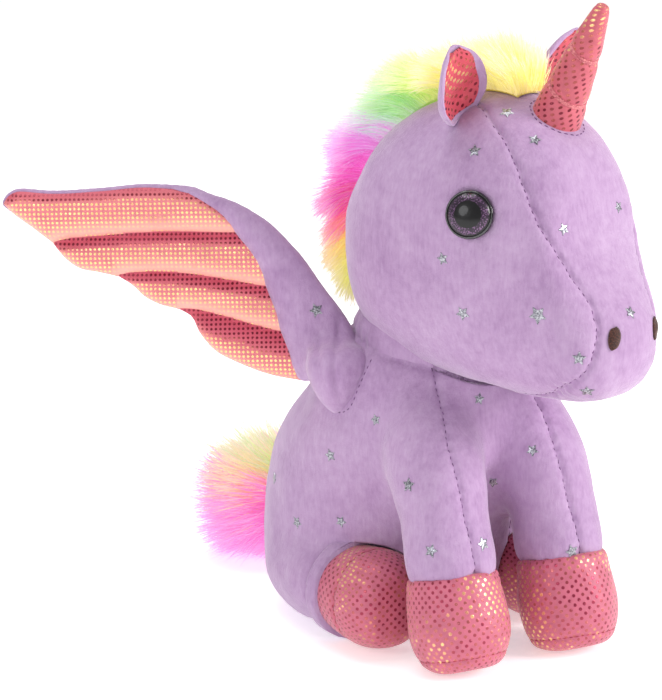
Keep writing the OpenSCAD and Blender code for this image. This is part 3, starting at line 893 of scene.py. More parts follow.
body_parts = split(body, {
    None: (head_share(to_head(m), -3.5) < 1) & (neck_line(m) > 0),
    "neck_cover": neck_line(m) > 0,
    "seat_cover": (m[:, 2] < 1.2) & (np.hypot(m[:, 0], m[:, 1]) < 31),
    "chest_cover": (m[:, 1] < -18) & (chest_right(m) > 0) & (chest_left(m) < 0),
    "body_right_cover": m[:, 0] < 0,
    "body_left_cover": m[:, 0] >= 0,
})
for piece, plush_used, body_name, nodes, fill in (
    ("body_right_cover", side_plush, "torso", ["body_right_panel", "body_stuffing"], 0.85),
    ("body_left_cover", left_plush, "torso", ["body_left_panel"], 0.85),
    ("chest_cover", chest_plush, "torso", ["chest_panel"], 0.85),
    ("seat_cover", side_plush, "torso", ["seat_panel"], 0.7),
    ("neck_cover", chest_plush, None, ["neck_band", "neck_stuffing"], 0.8),
):
    finished(body_parts[piece], plush_used, body_name, nodes)
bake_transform(body_parts["neck_cover"])


def stitched(name, chains, step, length, radius, mat, body_name, lift=0.05, bow=0.25):
    parts = []
    for p, n in chains:
        at, nn, ahead = along(p, n, step)
        if len(at):
            parts.append(capsules(at + nn * lift, nn, ahead, length, radius, bow))
    o = make(name, *joined(*parts))
    return finished(o, mat, body_name)


stitched("body_stitches", body_seams, 2.7, 1.7, 0.2, seam_thread, "torso")

# ---------------------------------------------------------------- head

GUSSET_Z = [90, 100, 104.5, 114, 120, 128, 134, 142, 148, 158, 169, 180, 191, 201, 205, 209, 214, 240]
GUSSET_W = [6, 11, 14.5, 20.6, 19.3, 17.5, 16.4, 16.2, 18.2, 21.7, 25.9, 26.5, 25.6, 23.2, 21.3, 17.5, 13, 8]


def gusset_right(p):
    return p[:, 0] + curve(GUSSET_Z, GUSSET_W, p[:, 2])


def gusset_left(p):
    return p[:, 0] - curve(GUSSET_Z, GUSSET_W, p[:, 2])


def face_side(p):
    return (p[:, 1] < -24) & (p[:, 2] > 99)


def chin_seam(p):
    return p[:, 0]


def under_head(p):
    return (p[:, 2] < 118) & (p[:, 1] > -50) & (p[:, 1] < 34)


EYE_YAW, EYE_PITCH = math.radians(28), math.radians(12)
EYE_SEAT = vec(36.2, -39, 172)


def eye_axes(side):
    """Seat, outward axis and two cross axes of an eye, in head axes."""
    flat = math.cos(EYE_PITCH)
    out = vec(side * math.cos(EYE_YAW) * flat, -math.sin(EYE_YAW) * flat, math.sin(EYE_PITCH))
    across = unit(np.cross(UP, out))
    return EYE_SEAT * vec(side, 1, 1), out, across, np.cross(out, across)


def head_cover():
    x, z = around(72, 2.4)
    rows = resampled(HEAD_RINGS, 64)
    rings = np.array([np.stack([hw * x, np.full(72, -f), (lo + hi) / 2 + (hi - lo) / 2 * z], -1)
                      for f, lo, hi, hw in rows])
    o = make("head_cover", *tube(rings))
    remeshed(o, 3.2, 3)
    p, n = points(o), normals(o)
    p = p - n * 0.75
    put(o, p)
    n = normals(o)
    d = np.min([
        seam_distance(gusset_right, face_side, p, n), seam_distance(gusset_left, face_side, p, n),
        seam_distance(chin_seam, under_head, p, n),
    ], 0)
    for _, s in SIDES:
        d = np.minimum(d, np.maximum(np.linalg.norm(p - eye_axes(s)[0], axis=1) - 9, 0))
    puffed(o, smoothstep(1.2, 7, d), 4.0, 1.6)
    subdivided(o, 2)
    p, n = points(o), normals(o)
    d = np.minimum(seam_distance(gusset_right, face_side, p, n), seam_distance(gusset_left, face_side, p, n))
    pucker = 0.5 + 0.5 * np.sin(2 * math.pi * (p[:, 2] - 0.6 * p[:, 1]) / 4.4 + 2 * wobble(p, 9, 13))
    p = p - n * (np.exp(-((d / 1.15) ** 2)) * (0.85 + 0.3 * pucker) + np.exp(-((d / 3.4) ** 2)) * 0.3
                 * pucker)[:, None]
    p = p + n * (0.4 * wobble(p, 15, 15) + 0.14 * wobble(p, 6, 16))[:, None]
    for _, s in SIDES:
        seat, out, across, over = eye_axes(s)
        q = p - seat
        h, r = q @ out, np.hypot(q @ across, q @ over)
        turn = np.arctan2(q @ over, q @ across)
        near = np.exp(-((np.maximum(r - 8.2, 0) / 3.2) ** 2)) * (h > -14)
        goal = 0.55 + np.maximum(r - 8.6, 0) * 0.22
        pull = np.maximum(h - goal, 0) * near
        crease = (0.5 + 0.5 * np.sin(11 * turn + 3
                                     * wobble(p, 8,
                                              21))) * np.exp(-(((r - 11.0) / 3.0) ** 2)) * 0.36 * (h > -10)
        p = p - out * (pull + crease)[:, None]
    put(o, p)
    return o


head = head_cover()
for fn in (gusset_right, gusset_left):
    snap(head, fn, face_side, 0.42)
head_seams = [c for fn in (gusset_right, gusset_left) for c in seam_chains(head, fn, face_side)]
head_seams += seam_chains(head, chin_seam, under_head)
head_tree = bvh(head)
m = middles(head)
head_parts = split(head, {
    "head_gusset_cover": (m[:, 1] < -24) & (gusset_right(m) > 0) & (gusset_left(m) < 0) & (m[:, 2] > 96),
    "head_right_cover": m[:, 0] < 0,
    "head_left_cover": m[:, 0] >= 0,
})


for piece, plush_used, nodes in (
    ("head_gusset_cover", gusset_plush, ["head_gusset", "head_stuffing"]),
    ("head_right_cover", head_plush, ["head_right_panel"]),
    ("head_left_cover", left_plush, ["head_left_panel"]),
):
    put(head_parts[piece], from_head(points(head_parts[piece])))
    finished(head_parts[piece], plush_used, "head", nodes)
stitched("head_stitches", [(from_head(p), head_dir(n)) for p, n in head_seams], 2.7, 1.7, 0.2, seam_thread,
         "head")


# ---------------------------------------------------------------- eyes and nostrils


def lathe(profile, n=64, smooth_rows=None):
    """Rings of a turned form from a profile of [radius, height]."""
    rows = resampled(profile, smooth_rows) if smooth_rows else np.asarray(profile, float)
    a = np.arange(n) * 2 * math.pi / n
    return np.array([np.stack([r * np.cos(a), r * np.sin(a), np.full(n, h)], -1) for r, h in rows])


def set_points(o, name, values):
    o.data.attributes.new(name, "FLOAT", "POINT").data.foreach_set("value", np.asarray(values, np.float32))


def built_at_eye(side, verts):
    seat, out, across, over = eye_axes(side)
    v = np.asarray(verts)
    return from_head(seat + v[:, :1] * across + v[:, 1:2] * over + v[:, 2:] * out)


def eye(name, side):
    dome = [
        [0.02, 5.55], [1.5, 5.5], [3, 5.25], [4.6, 4.75], [5.9, 4.1], [7.0, 3.3], [7.75, 2.55], [8.05, 2.0],
        [7.9, 1.2],
    ]
    verts, faces = tube(lathe(dome, 72, 30))
    o = make(f"{name}_eye_dome", built_at_eye(side, verts), faces)
    set_points(o, "ring", np.hypot(verts[:, 0], verts[:, 1]) / 8.05)
    finished(o, eye_glitter, "head", [f"{name}_eye"])
    rim = [
        [7.6, 0.6], [8.0, 0.2], [8.5, 0.2], [8.85, 0.7], [8.85, 1.6], [8.6, 2.25], [8.25, 2.5], [7.95, 2.35],
        [7.7, 1.6], [7.6, 0.6],
    ]
    verts, faces = tube(lathe(rim, 72, 26), caps=False)
    finished(make(f"{name}_eye_rim", built_at_eye(side, verts), faces), black_plastic, "head")
    shank = [
        [0.02, -13], [1.5, -13], [2.0, -12.4], [2.2, -11.6], [1.9,
                                                              -11], [2.2, -10.4], [1.9, -9.8], [2.2, -9.2],
        [2.2, 0.6], [7.6, 1.0], [0.02, 1.4],
    ]
    verts, faces = tube(lathe(shank, 24))
    finished(make(f"{name}_eye_shank", built_at_eye(side, verts), faces), black_plastic, "head")


def nostril(name, side):
    """Satin stitches laid side by side across an oval, over a low mound of thread."""
    centre, n = on_surface(head_tree, vec(side * 12, -86.5, 130))
    out = unit(0.8 * n + 0.2 * vec(side * 0.5, -0.85, 0))
    across = unit(np.cross(UP, out))
    over = np.cross(out, across)
    parts = []
    for row in np.arange(-3.7, 3.71, 0.37):
        w = 2.5 * math.sqrt(max(1 - (row / 4.05) ** 2, 0.05))
        ups = np.linspace(-1, 1, 7)
        slant = 0.35
        rings = []
        for u in ups:
            base = centre + across * (u * w + slant * row * 0.3) + over * (row + 0.35 * u)
            base, bn = on_surface(head_tree, base)
            base = base + bn * (0.15 + 0.75 * math.sqrt(max(1 - u * u * 0.93, 0))
                                * (0.75 + 0.25 * math.cos(row)))
            a = np.arange(6) * math.pi / 3
            rings.append(base + 0.25 * (np.cos(a)[:, None] * over + np.sin(a)[:, None] * bn))
        parts.append(tube(np.array(rings)))
    mound = []
    for r, h in [(1.0, -0.4), (1.0, 0.2), (0.8, 0.6), (0.45, 0.85), (0.02, 0.95)]:
        a = np.arange(28) * math.pi / 14
        mound.append(centre + across * (2.3 * r * np.cos(a))[:, None] + over * (3.8 * r * np.sin(a))[:, None]
                     + out * (h * 0.75))
    parts.append(tube(np.array(mound)))
    v, f = joined(*parts)
    finished(make(f"{name}_nostril_stitches", from_head(v), f), nose_thread, "head",
             [f"{name}_nostril"])


for side_name, side in SIDES:
    eye(side_name, side)
    nostril(side_name, side)
for side_name, _ in SIDES:
    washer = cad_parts[f"{side_name}_eye_washer"]
    washer.data.materials.clear()
    washer.data.materials.append(washer_plastic)


# ---------------------------------------------------------------- hooves, horn

HOOF = [[0.02, 0], [6, 0], [10, 0.15], [13.4, 1.2], [15.8, 3.6], [17.7, 8], [18.7, 12], [19, 16], [18.6, 22],
        [17.7, 29],
        [16.9, 33.6], [16.2, 35.0], [14.6, 35.5], [10, 35.3], [0.02, 35.3]]


def give_uv(o, grid, columns, around_mm, up_mm, faces):
    """Real lengths as the cloth's own map: around_mm by column, up_mm by row, closed at the last column."""
    layer = o.data.uv_layers.new(name="cloth")
    uv = np.zeros((len(o.data.loops), 2))
    k = 0
    for f in faces:
        cols = [i % columns if i < grid * columns else None for i in f]
        real = [c for c in cols if c is not None]
        wraps = real and max(real) - min(real) > columns / 2
        for i, c in zip(f, cols):
            if c is None:
                row = 0 if i == grid * columns else grid - 1
                c = real[0]
            else:
                row = i // columns
            if wraps and c < columns / 2:
                c += columns
            uv[k] = (c / columns * around_mm[row] if np.ndim(around_mm)
                     else c / columns * around_mm, up_mm[row])
            k += 1
    layer.data.foreach_set("uv", uv.ravel())


def hoof(name, side, front):
    n, rows = 72, resampled(HOOF, 64)
    length = np.concatenate([[0], np.cumsum(np.linalg.norm(np.diff(rows, axis=0), axis=1))])
    rings = lathe(rows, n)
    seam_at = 5.2 if front else 17.0
    dip = np.exp(-(((rows[:, 1] - seam_at) / 0.8) ** 2)) * (rows[:, 0] > 12)
    a = np.arange(n) * 2 * math.pi / n
    ripple = 1 + 0.5 * np.sin(26 * a + 2 * np.sin(3 * a))
    rings[:, :, :2] *= (1 - (dip[:, None] * 0.75 * ripple[None]) / 19)[..., None]
    top = smoothstep(29, 35, rows[:, 1])[:, None] * (0.35 * np.sin(17 * a + side) + 0.25
                                                     * np.sin(29 * a))[None]
    rings[:, :, :2] *= (1 + top / 19)[..., None]
    verts, faces = tube(rings)
    if front:
        axis = LEG_FOOT * vec(side, 1, 1) + (verts[:, 2:] - FRONT_HOOF_H) * LEG_UP
        place = axis + verts[:, :1] * vec(1, 0, 0) + verts[:, 1:2] * LEG_BACK
        low = place[:, 2]
        press = np.where(low < 2.2, 0.25 + 1.95 * np.exp((np.minimum(low, 2.2) - 2.2) / 1.95), low)
        spread = np.clip(2.2 - low, 0, 6) * 0.12
        place[:, :2] += unit((place - axis)[:, :2]) * spread[:, None]
        place[:, 2] = press
    else:
        place = HIND_HOOF * vec(side, 1, 1) + verts[:, 2:] * vec(0, 1, 0) + verts[:, :1] * vec(1, 0, 0)
        place = place - verts[:, 1:2] * UP
        place[:, 2] = np.where(place[:, 2] < 2, 0.3 + 1.7 * np.exp((place[:, 2] - 2) / 1.7), place[:, 2])
    place = place + unit(place - place.mean(0)) * (0.3 * wobble(place, 9, 31))[:, None]
    place[:, 2] = np.maximum(place[:, 2], 0.25)
    hoof_name = f"{name}_{'front' if front else 'hind'}_hoof"
    whole = make(hoof_name, place, faces)
    give_uv(whole, len(rows), n, 2 * math.pi * 18.4, length, faces)
    if not front:
        uv = np.zeros((len(whole.data.loops), 2))
        whole.data.uv_layers["cloth"].data.foreach_get("uv", flat := uv.ravel())
        uv = flat.reshape(-1, 2)
        loops = np.zeros(len(whole.data.loops), int)
        whole.data.loops.foreach_get("vertex_index", loops)
        front_part = verts[loops, 2] < 17.0
        ring = np.where(loops < n * len(rows), loops // n, np.where(loops == n * len(rows), 0, len(rows) - 1))
        reach = length[ring]
        turn = np.arctan2(verts[loops, 1], verts[loops, 0])
        disc = np.stack([reach * np.cos(turn), reach * np.sin(turn)], -1)
        whole.data.uv_layers["cloth"].data.foreach_set("uv", np.where(front_part[:, None], disc, uv).ravel())
    tree = bvh(whole)
    sole = profile_heights(whole, n, rows) < seam_at
    parts = split(whole, {f"{hoof_name}_sole": sole, f"{hoof_name}_cup": ~sole})
    for part, inner, fill in (("cup", [f"{hoof_name}_stuffing"], 0.95), ("sole", [], 0.9)):
        piece = f"{hoof_name}_{part}"
        finished(parts[piece], hoof_foil, "torso", [piece, *inner])
    ring_row = int(np.argmin(abs(rows[:, 1] - seam_at) + 9 * (rows[:, 0] < 12)))
    line = place[ring_row * n:(ring_row + 1) * n]
    line = np.vstack([line, line[:1]])
    nn = np.array([on_surface(tree, q)[1] for q in line])
    stitched(f"{hoof_name}_stitches", [(line, nn)], 2.3, 1.5, 0.17, red_thread, "torso", 0.12, 0.15)


def profile_heights(o, n, rows):
    """Height along the turned profile of the middle of each face of a closed tube of n columns."""
    heights = np.concatenate([np.repeat(rows[:, 1], n), [rows[0][1], rows[-1][1]]])
    return np.array([sum(heights[i] for i in f.vertices) / len(f.vertices) for f in o.data.polygons])


for side_name, side in SIDES:
    for front in (True, False):
        hoof(side_name, side, front)

HORN_TIP = math.radians(26)
HORN_UP = vec(0, -math.sin(HORN_TIP), math.cos(HORN_TIP))
HORN_BACK = vec(0, math.cos(HORN_TIP), math.sin(HORN_TIP))
HORN_BASE = vec(0, -46.5, 200)
HORN = [
    [9.6, 0.2], [9.55, 3], [9.3, 6.2], [8.1, 16], [6.9, 26], [5.7, 34.5], [4.4, 42.6], [3.5, 47], [2.6, 50],
    [1.5, 51.5], [0.02, 52],
]
HORN_WRAPS = (0.3 * 52, 0.62 * 52)


def on_horn(v):
    v = np.asarray(v, float)
    return from_head(HORN_BASE + v[..., :1] * vec(1, 0, 0) + v[..., 1:2] * HORN_BACK + v[..., 2:] * HORN_UP)


def horn():
    n = 64
    radii, heights = np.array(HORN).T
    up = np.linspace(heights[0], heights[-1], 130)
    rows = np.stack([curve(heights, radii, up), up], -1)
    rings = lathe(rows, n)
    a = np.arange(n) * 2 * math.pi / n
    slope = math.tan(math.radians(14))
    for wrap in HORN_WRAPS:
        tilt = wrap + slope * rows[:, 0][:, None] * np.sin(a)[None]
        gap = rows[:, 1][:, None] - tilt
        pinch = np.exp(-((gap / 1.5) ** 2)) * 0.7 - np.exp(-(((abs(gap) - 4.5) / 3.0) ** 2)) * 0.22
        rings[:, :, :2] *= (1 - pinch / np.maximum(rows[:, :1], 3))[..., None]
    verts, faces = tube(rings)
    o = make("horn_cover_foil", on_horn(verts), faces)
    give_uv(o, len(rows), n, 2 * math.pi * rows[:, 0], rows[:, 1], faces)
    finished(o, horn_foil, "head", ["horn_cover", "horn_stuffing"])
    parts = []
    t = np.arange(90) * 2 * math.pi / 90
    b = np.arange(6) * math.pi / 3
    for wrap in HORN_WRAPS:
        for lift in (-0.45, 0.0, 0.45):
            r0 = np.interp(wrap, rows[:, 1], rows[:, 0])
            for _ in range(3):
                h = wrap + lift + slope * r0 * np.sin(t)
                r0 = np.interp(h, rows[:, 1], rows[:, 0]) - 0.45
            ring = np.stack([r0 * np.cos(t), r0 * np.sin(t), h], -1)
            out = np.stack([np.cos(t), np.sin(t), 0 * t], -1)
            loops = ring[:, None] + 0.27 * (np.cos(b)[None, :, None] * out[:, None] + np.sin(b)[None, :, None]
                                            * UP)
            v, f = tube(np.concatenate([loops, loops[:1]]), caps=False)
            parts.append((on_horn(v), f))
    v, f = joined(*parts)
    finished(make("horn_thread_wraps", v, f), pink_thread, "head", ["horn_thread"])
    t = np.arange(80) * 2 * math.pi / 80
    base = np.stack([9.75 * np.cos(t), 9.75 * np.sin(t), 0 * t], -1)
    line = HORN_BASE + base[:, :1] * vec(1, 0, 0) + base[:, 1:2] * HORN_BACK
    found = [on_surface(head_tree, q) for q in line]
    p = np.array([q[0] for q in found] + [found[0][0]])
    nn = np.array([q[1] for q in found] + [found[0][1]])
    stitched("horn_base_stitches", [(from_head(p), head_dir(nn))], 2.6, 1.7, 0.2, seam_thread, "head", 0.15,
             0.2)


horn()


# ---------------------------------------------------------------- wings

LEAD = [[61.1, 169.3], [77, 170], [96, 168], [116, 166.5], [127, 167], [132, 165], [134, 162]]
SCALLOPS = [
    [[134, 162], [131, 159], [123, 153.3], [115, 147.5]],
    [[115, 147.5], [110, 141.5], [105, 138], [97, 136.5], [89, 135]],
    [[89, 135], [84, 132], [79, 127.5], [74, 125], [65.5, 123]],
    [[65.5, 123], [61, 120.5], [58, 114.5], [52, 107.5], [42, 102.5], [30.5, 98.7], [17, 96.6]],
]
ARM_EDGE = [[17, 96.6], [18.5, 106.5], [25.5, 127], [28.5, 137.3], [31, 147], [36.5, 154], [43.5, 159.4],
            [53, 165.6], [61.1, 169.3]]
FOLDS = [
    [[30, 152.6], [41.9, 153.3], [72.9, 152.8], [96.4, 150.5], [113.3, 147.9], [116, 147.0]],
    [[26, 132.0], [31.2, 132.7], [45.9, 135], [71.2, 137.3], [88.8, 135.6], [91, 134.9]],
    [[20, 113.7], [24.7, 115], [36.4, 117.8], [49.9, 121.2], [62.8, 123.3], [66, 123.2]],
]
ARM = [
    [8, 98, 12.5, 8.5, 8], [9.5, 108, 14.5, 9.5, 16], [13, 117, 13.6, 9, 24], [18, 126, 12.2, 8.3, 29],
    [28, 144.5, 8.8, 7, 33], [38, 156, 6.8, 6, 45], [47, 162.5, 4.9, 5, 56], [58, 167.6, 3.2, 3.8, 66],
    [66, 169.6, 2.2, 2.6, 82], [71, 169.8, 1.5, 1.9, 90],
]
WING_LOBE = [[0.02, 86], [2.5, 86.6], [6, 90], [9.5, 95], [12, 101], [13, 107], [12, 111], [9, 114.2],
             [0.02, 115.4]]


WING_ROOT = vec(-31, -16, 0)
WING_OUT = vec(-0.7547, 0.6561, 0)
WING_THICK = vec(0.6561, 0.7547, 0)


def at_wing(side, v):
    """Row frame points of ones drawn in a wing's plane: out from the root, up, and back from the plane."""
    v = np.asarray(v, float)
    p = WING_ROOT + v[..., :1] * WING_OUT + v[..., 1:2] * UP + v[..., 2:] * WING_THICK
    return p * vec(-side, 1, 1)


def outline():
    parts = [resampled(ARM_EDGE, 60), resampled(LEAD, 70)] + [resampled(s, 26) for s in SCALLOPS]
    return np.vstack([q[:-1] for q in parts])


def inside_outline(p, poly):
    a, b = poly, np.roll(poly, -1, 0)
    cross = (a[None, :, 1] > p[:, None, 1]) != (b[None, :, 1] > p[:, None, 1])
    x = (b[None, :, 0] - a[None, :, 0]) * (p[:, None, 1] - a[None, :, 1]) / np.where(
        b[None, :, 1] == a[None, :, 1], 1e-9, b[None, :, 1] - a[None, :, 1]) + a[None, :, 0]
    return (cross & (p[:, None, 0] < x)).sum(1) % 2 == 1


def edge_distance(p, poly):
    a, b = poly, np.roll(poly, -1, 0)
    d = b - a
    t = np.clip(((p[:, None] - a[None]) * d[None]).sum(-1) / np.maximum((d * d).sum(-1), 1e-9)[None], 0, 1)
    return np.linalg.norm(p[:, None] - a[None] - t[..., None] * d[None], axis=-1).min(1)


def quilted(p):
    """For places on the wing: distance under the fold above and over the fold below."""
    above, below = np.full(len(p), 60.0), np.full(len(p), 60.0)
    for f in FOLDS:
        f = np.array(f)
        z = curve(f[:, 0], f[:, 1], p[:, 0])
        out = np.maximum(p[:, 0] - f[-1, 0], 0)
        gap = np.where(abs(z - p[:, 1]) < 0.12, 0, z - p[:, 1])
        above = np.where(gap >= 0, np.minimum(above, gap + 3 * out), above)
        below = np.where(gap < 0, np.minimum(below, -gap + 3 * out), below)
    return above, below


def wing_panel(name, side, poly, grid, front):
    inner = grid[inside_outline(grid, poly)]
    d = edge_distance(inner, poly)
    creases = [resampled(f, 90) for f in FOLDS]
    creases = [c[inside_outline(c, poly)] for c in creases]
    creases = [c[edge_distance(c, poly) > 0.4] for c in creases]
    near = np.min([edge_distance(inner, np.vstack([c, c[::-1]])) for c in creases], axis=0)
    keep = (d > 0.55) & (near > 0.5)
    flat = np.vstack([poly, *creases, inner[keep]])
    away = np.concatenate([np.zeros(len(poly)), *[edge_distance(c, poly) for c in creases], d[keep]])
    above, below = quilted(flat)
    ring = [(i, (i + 1) % len(poly)) for i in range(len(poly))]
    first = len(poly)
    for c in creases:
        ring += [(first + i, first + i + 1) for i in range(len(c) - 1)]
        first += len(c)
    got, _, tris, *_ = delaunay_2d_cdt([Vector(q) for q in flat], ring, [], 1, 1e-5)
    if len(got) != len(flat):
        raise ValueError("the wing outline crosses itself")
    if front:
        rise = (1 - np.exp(-above / 4.2)) * (1 - np.exp(-below / 1.5)) * (1 - np.exp(-away / 1.5))
        crumple = 0.35 * wobble(np.stack([flat[:, 0] / 2.2, flat[:, 1], 0 * away], -1), 4.5,
                                41) * np.minimum(away, 2) / 2
        t = -(0.35 + 3.3 * rise + crumple)
    else:
        rise = (1 - np.exp(-np.minimum(above, below) / 3)) * (1 - np.exp(-away / 2.4))
        t = 0.35 + 2.1 * rise + 0.25 * wobble(np.stack([flat[:, 0], flat[:, 1], 0 * away], -1), 8,
                                              42) * np.minimum(away, 2) / 2
    faces = [list(f) for f in tris]
    o = make(name, at_wing(side, np.column_stack([flat, t])), faces)
    give_map(o, flat)
    # painted shade and light for the wing material: 'under' is small just under each fold (reaching further below
    # the lowest one), under the leading edge and beside the arm, where the cloth is painted dark; 'over' is small
    # just above each fold and near the edge, where it is painted pale
    crowd = above * np.where(flat[:, 1] < curve(*np.array(FOLDS[2]).T, flat[:, 0]), 0.5, 1)
    top = curve(*np.array([[40, 157], [52, 165.5], *LEAD[:-1]]).T, flat[:, 0]) - flat[:, 1]
    arm = edge_distance(flat, np.vstack([ARM_EDGE, ARM_EDGE[::-1]]))
    set_points(o, "under", np.minimum(np.minimum(crowd, top + 1), 1.2 * arm + 1.6))
    set_points(o, "over", np.minimum(below, away + 3))
    return o


def outward(o, towards):
    """Turns every face the same way, so that the middle ones look along a direction."""
    n = np.array([f.normal for f in o.data.polygons]).mean(0)
    if n @ towards < 0:
        o.data.flip_normals()
    return o


def wing(name, side):
    poly = outline()
    step = 1.05
    gx, gy = np.meshgrid(np.arange(14, 136, step), np.arange(94, 172, step * 0.866))
    gx = gx + (np.arange(gx.shape[0]) % 2)[:, None] * step / 2
    grid = np.column_stack([gx.ravel(), gy.ravel()])
    rear = at_wing(side, vec(0, 0, 1)) - at_wing(side, vec(0, 0, 0))
    front = outward(wing_panel(f"{name}_wing_membrane_foil", side, poly, grid, True), -rear)
    cover = outward(wing_panel(f"{name}_wing_back_cover", side, poly, grid, False), rear)
    body_name = f"{name}_wing"
    finished(front, wing_foil, body_name, [f"{name}_wing_membrane", f"{name}_wing_batting"])
    finished(cover, wing_plush, body_name, [f"{name}_wing_back"])
    lead = resampled([[52, 165.5], *LEAD, [131.5, 159.2]], 90)
    ahead = unit(np.gradient(lead, axis=0))
    up = np.stack([-ahead[:, 1], ahead[:, 0]], -1)
    a = np.arange(12) * math.pi / 6
    r = curve([0, 20, 60, 80, 89], [1.5, 1.15, 1.05, 0.95, 0.3], np.arange(90.0))
    wave = 1 + 0.05 * np.sin(np.arange(90) * 1.7)
    rings = [
        np.column_stack([
            np.repeat(lead[k][None], 12, 0) + (r[k] * wave[k] * np.cos(a))[:, None] * up[k],
            0.75 + 1.15 * r[k] * np.sin(a),
        ]) for k in range(90)
    ]
    v, f = tube(np.array(rings))
    finished(make(f"{name}_wing_edge_roll", at_wing(side, v), f), wing_plush, body_name)
    x, y = around(40)
    rings = []
    for p, z, hw, ht, lean in resampled(ARM, 40):
        e = math.radians(lean)
        rings.append(np.stack([p + hw * x * math.cos(e), z - hw * x * math.sin(e), ht * y], -1))
    v, f = tube(at_wing(side, np.array(rings)))
    lobe, lf = tube(lathe(WING_LOBE, 40, 30) + vec(side * 41, -24, 0))
    o = make(f"{name}_wing_arm_cover", *joined((v, f), (lobe, lf)))
    remeshed(o, 1.9, 14)
    p, n = points(o), normals(o)
    put(o, p - n * 0.5)
    puffed(o, np.full(len(p), 1.0) * smoothstep(100, 116, p[:, 2]), 3.0, 0.9, 12)
    subdivided(o, 1)
    p, n = points(o), normals(o)
    root, out, thick = (v * vec(-side, 1, 1) for v in (WING_ROOT, WING_OUT, WING_THICK))
    q = np.stack([(p - root) @ out, p[:, 2], (p - root) @ thick], -1)
    fold = 0
    for at, tilt, depth, low, high in ((1.5, 0.1, 1.1, 92, 128), (7.5, 0.2, 0.8, 96, 122),
                                       (13.5, 0.3, 0.5, 100, 118)):
        line = q[:, 0] - at - tilt * (q[:, 1] - 105)
        reach = smoothstep(low, low + 9, q[:, 1]) * (1 - smoothstep(high - 9, high, q[:, 1]))
        fold = fold + depth * np.exp(-((line / 1.5) ** 2)) * reach
    p = p - n * (fold * (n @ thick < 0.2))[:, None] + n * (0.28 * wobble(p, 9, 51))[:, None]
    put(o, p)
    finished(o, wing_plush, None, [f"{name}_wing_arm", f"{name}_wing_arm_stuffing"])
    arm_tree = bvh(o)
    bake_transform(o)
    return arm_tree


arm_trees = [wing(side_name, side) for side_name, side in SIDES]


# ---------------------------------------------------------------- ears


def ear_point(side, v):
    e = math.radians(24)
    v = np.asarray(v, float) * vec(side, 1, 1)
    turned = np.stack([v[..., 0] * math.cos(e) + side * v[..., 2] * math.sin(e), v[..., 1],
                       v[..., 2] * math.cos(e) - side * v[..., 0] * math.sin(e)], -1)
    return from_head(turned + vec(side * 24.5, -25, 206))


EAR_T = [0, 0.08, 0.2, 0.36, 0.5, 0.64, 0.78, 0.9, 0.97, 1]
EAR_W = [6.0, 8.6, 11.3, 12.6, 12.3, 10.9, 8.4, 5.0, 2.5, 0.5]


def ear_leaf(u, t, wide=1.0):
    """Middle surface of the cupped ear: u across from -1 to 1, t from the gathered base to the tip."""
    w = curve(EAR_T, EAR_W, t) * wide
    cup = 0.5 * w * (1 - u * u) * smoothstep(1.1, 0.2, t) + 1.5 * smoothstep(0, 0.2, 0.2 - t)
    lean = 2.2 * np.sin(t * 2.6) + 1.2 * t
    return np.stack([w * np.sin(u * 1.35) / math.sin(1.35),
                     cup - 2.2 - lean + 0.9 * np.sin(7 * t + 2 * u) * 0.25, 29.5 * t - 1.5], -1)


def ear(name, side):
    us, ts = np.linspace(-1, 1, 41), np.linspace(0, 1, 46)
    u, t = np.meshgrid(us, ts)
    mid = ear_leaf(u, t)
    du, dt = np.gradient(mid, axis=1), np.gradient(mid, axis=0)
    n = unit(np.cross(du, dt))
    n *= np.sign(n[..., 1:2] + 1e-9)
    thick = (0.35 + 1.5 * (1 - abs(u) ** 4) * (1 - smoothstep(0.85, 1, t)))[..., None]
    front, rear = mid - n * thick * 0.55, mid + n * thick
    rings = np.concatenate([front, rear[:, ::-1]], 1)
    v, f = tube(rings)
    o = make(f"{name}_ear_cover", ear_point(side, v), f)
    finished(o, wing_plush, f"{name}_ear", [f"{name}_ear_shell"])
    us, ts = np.linspace(-1, 1, 33), np.linspace(0.06, 0.95, 44)
    u, t = np.meshgrid(us * 0.8, ts)
    inset = ear_leaf(u * (1 - 0.25 * smoothstep(0.8, 0.95, t)), t)
    du, dt = np.gradient(inset, axis=1), np.gradient(inset, axis=0)
    n = unit(np.cross(du, dt))
    n *= np.sign(n[..., 1:2] + 1e-9)
    wave = 0.2 * np.sin(9 * t + 5 * u)
    inset = inset - n * (0.55 * 1.85 + 0.35 * (1 - (u / 0.8) ** 6) - 0.75 * (abs(u / 0.8) ** 8) - wave
                         * 0.9)[..., None]
    lining = make(f"{name}_ear_lining_foil", ear_point(side, inset.reshape(-1, 3)), grid_faces(*u.shape))
    outward(lining, -BACK)
    give_map(lining, np.stack([u * 11, t * 30], -1).reshape(-1, 2))
    finished(lining, ear_foil, f"{name}_ear", [f"{name}_ear_lining"])


for side_name, side in SIDES:
    ear(side_name, side)


# ---------------------------------------------------------------- fur


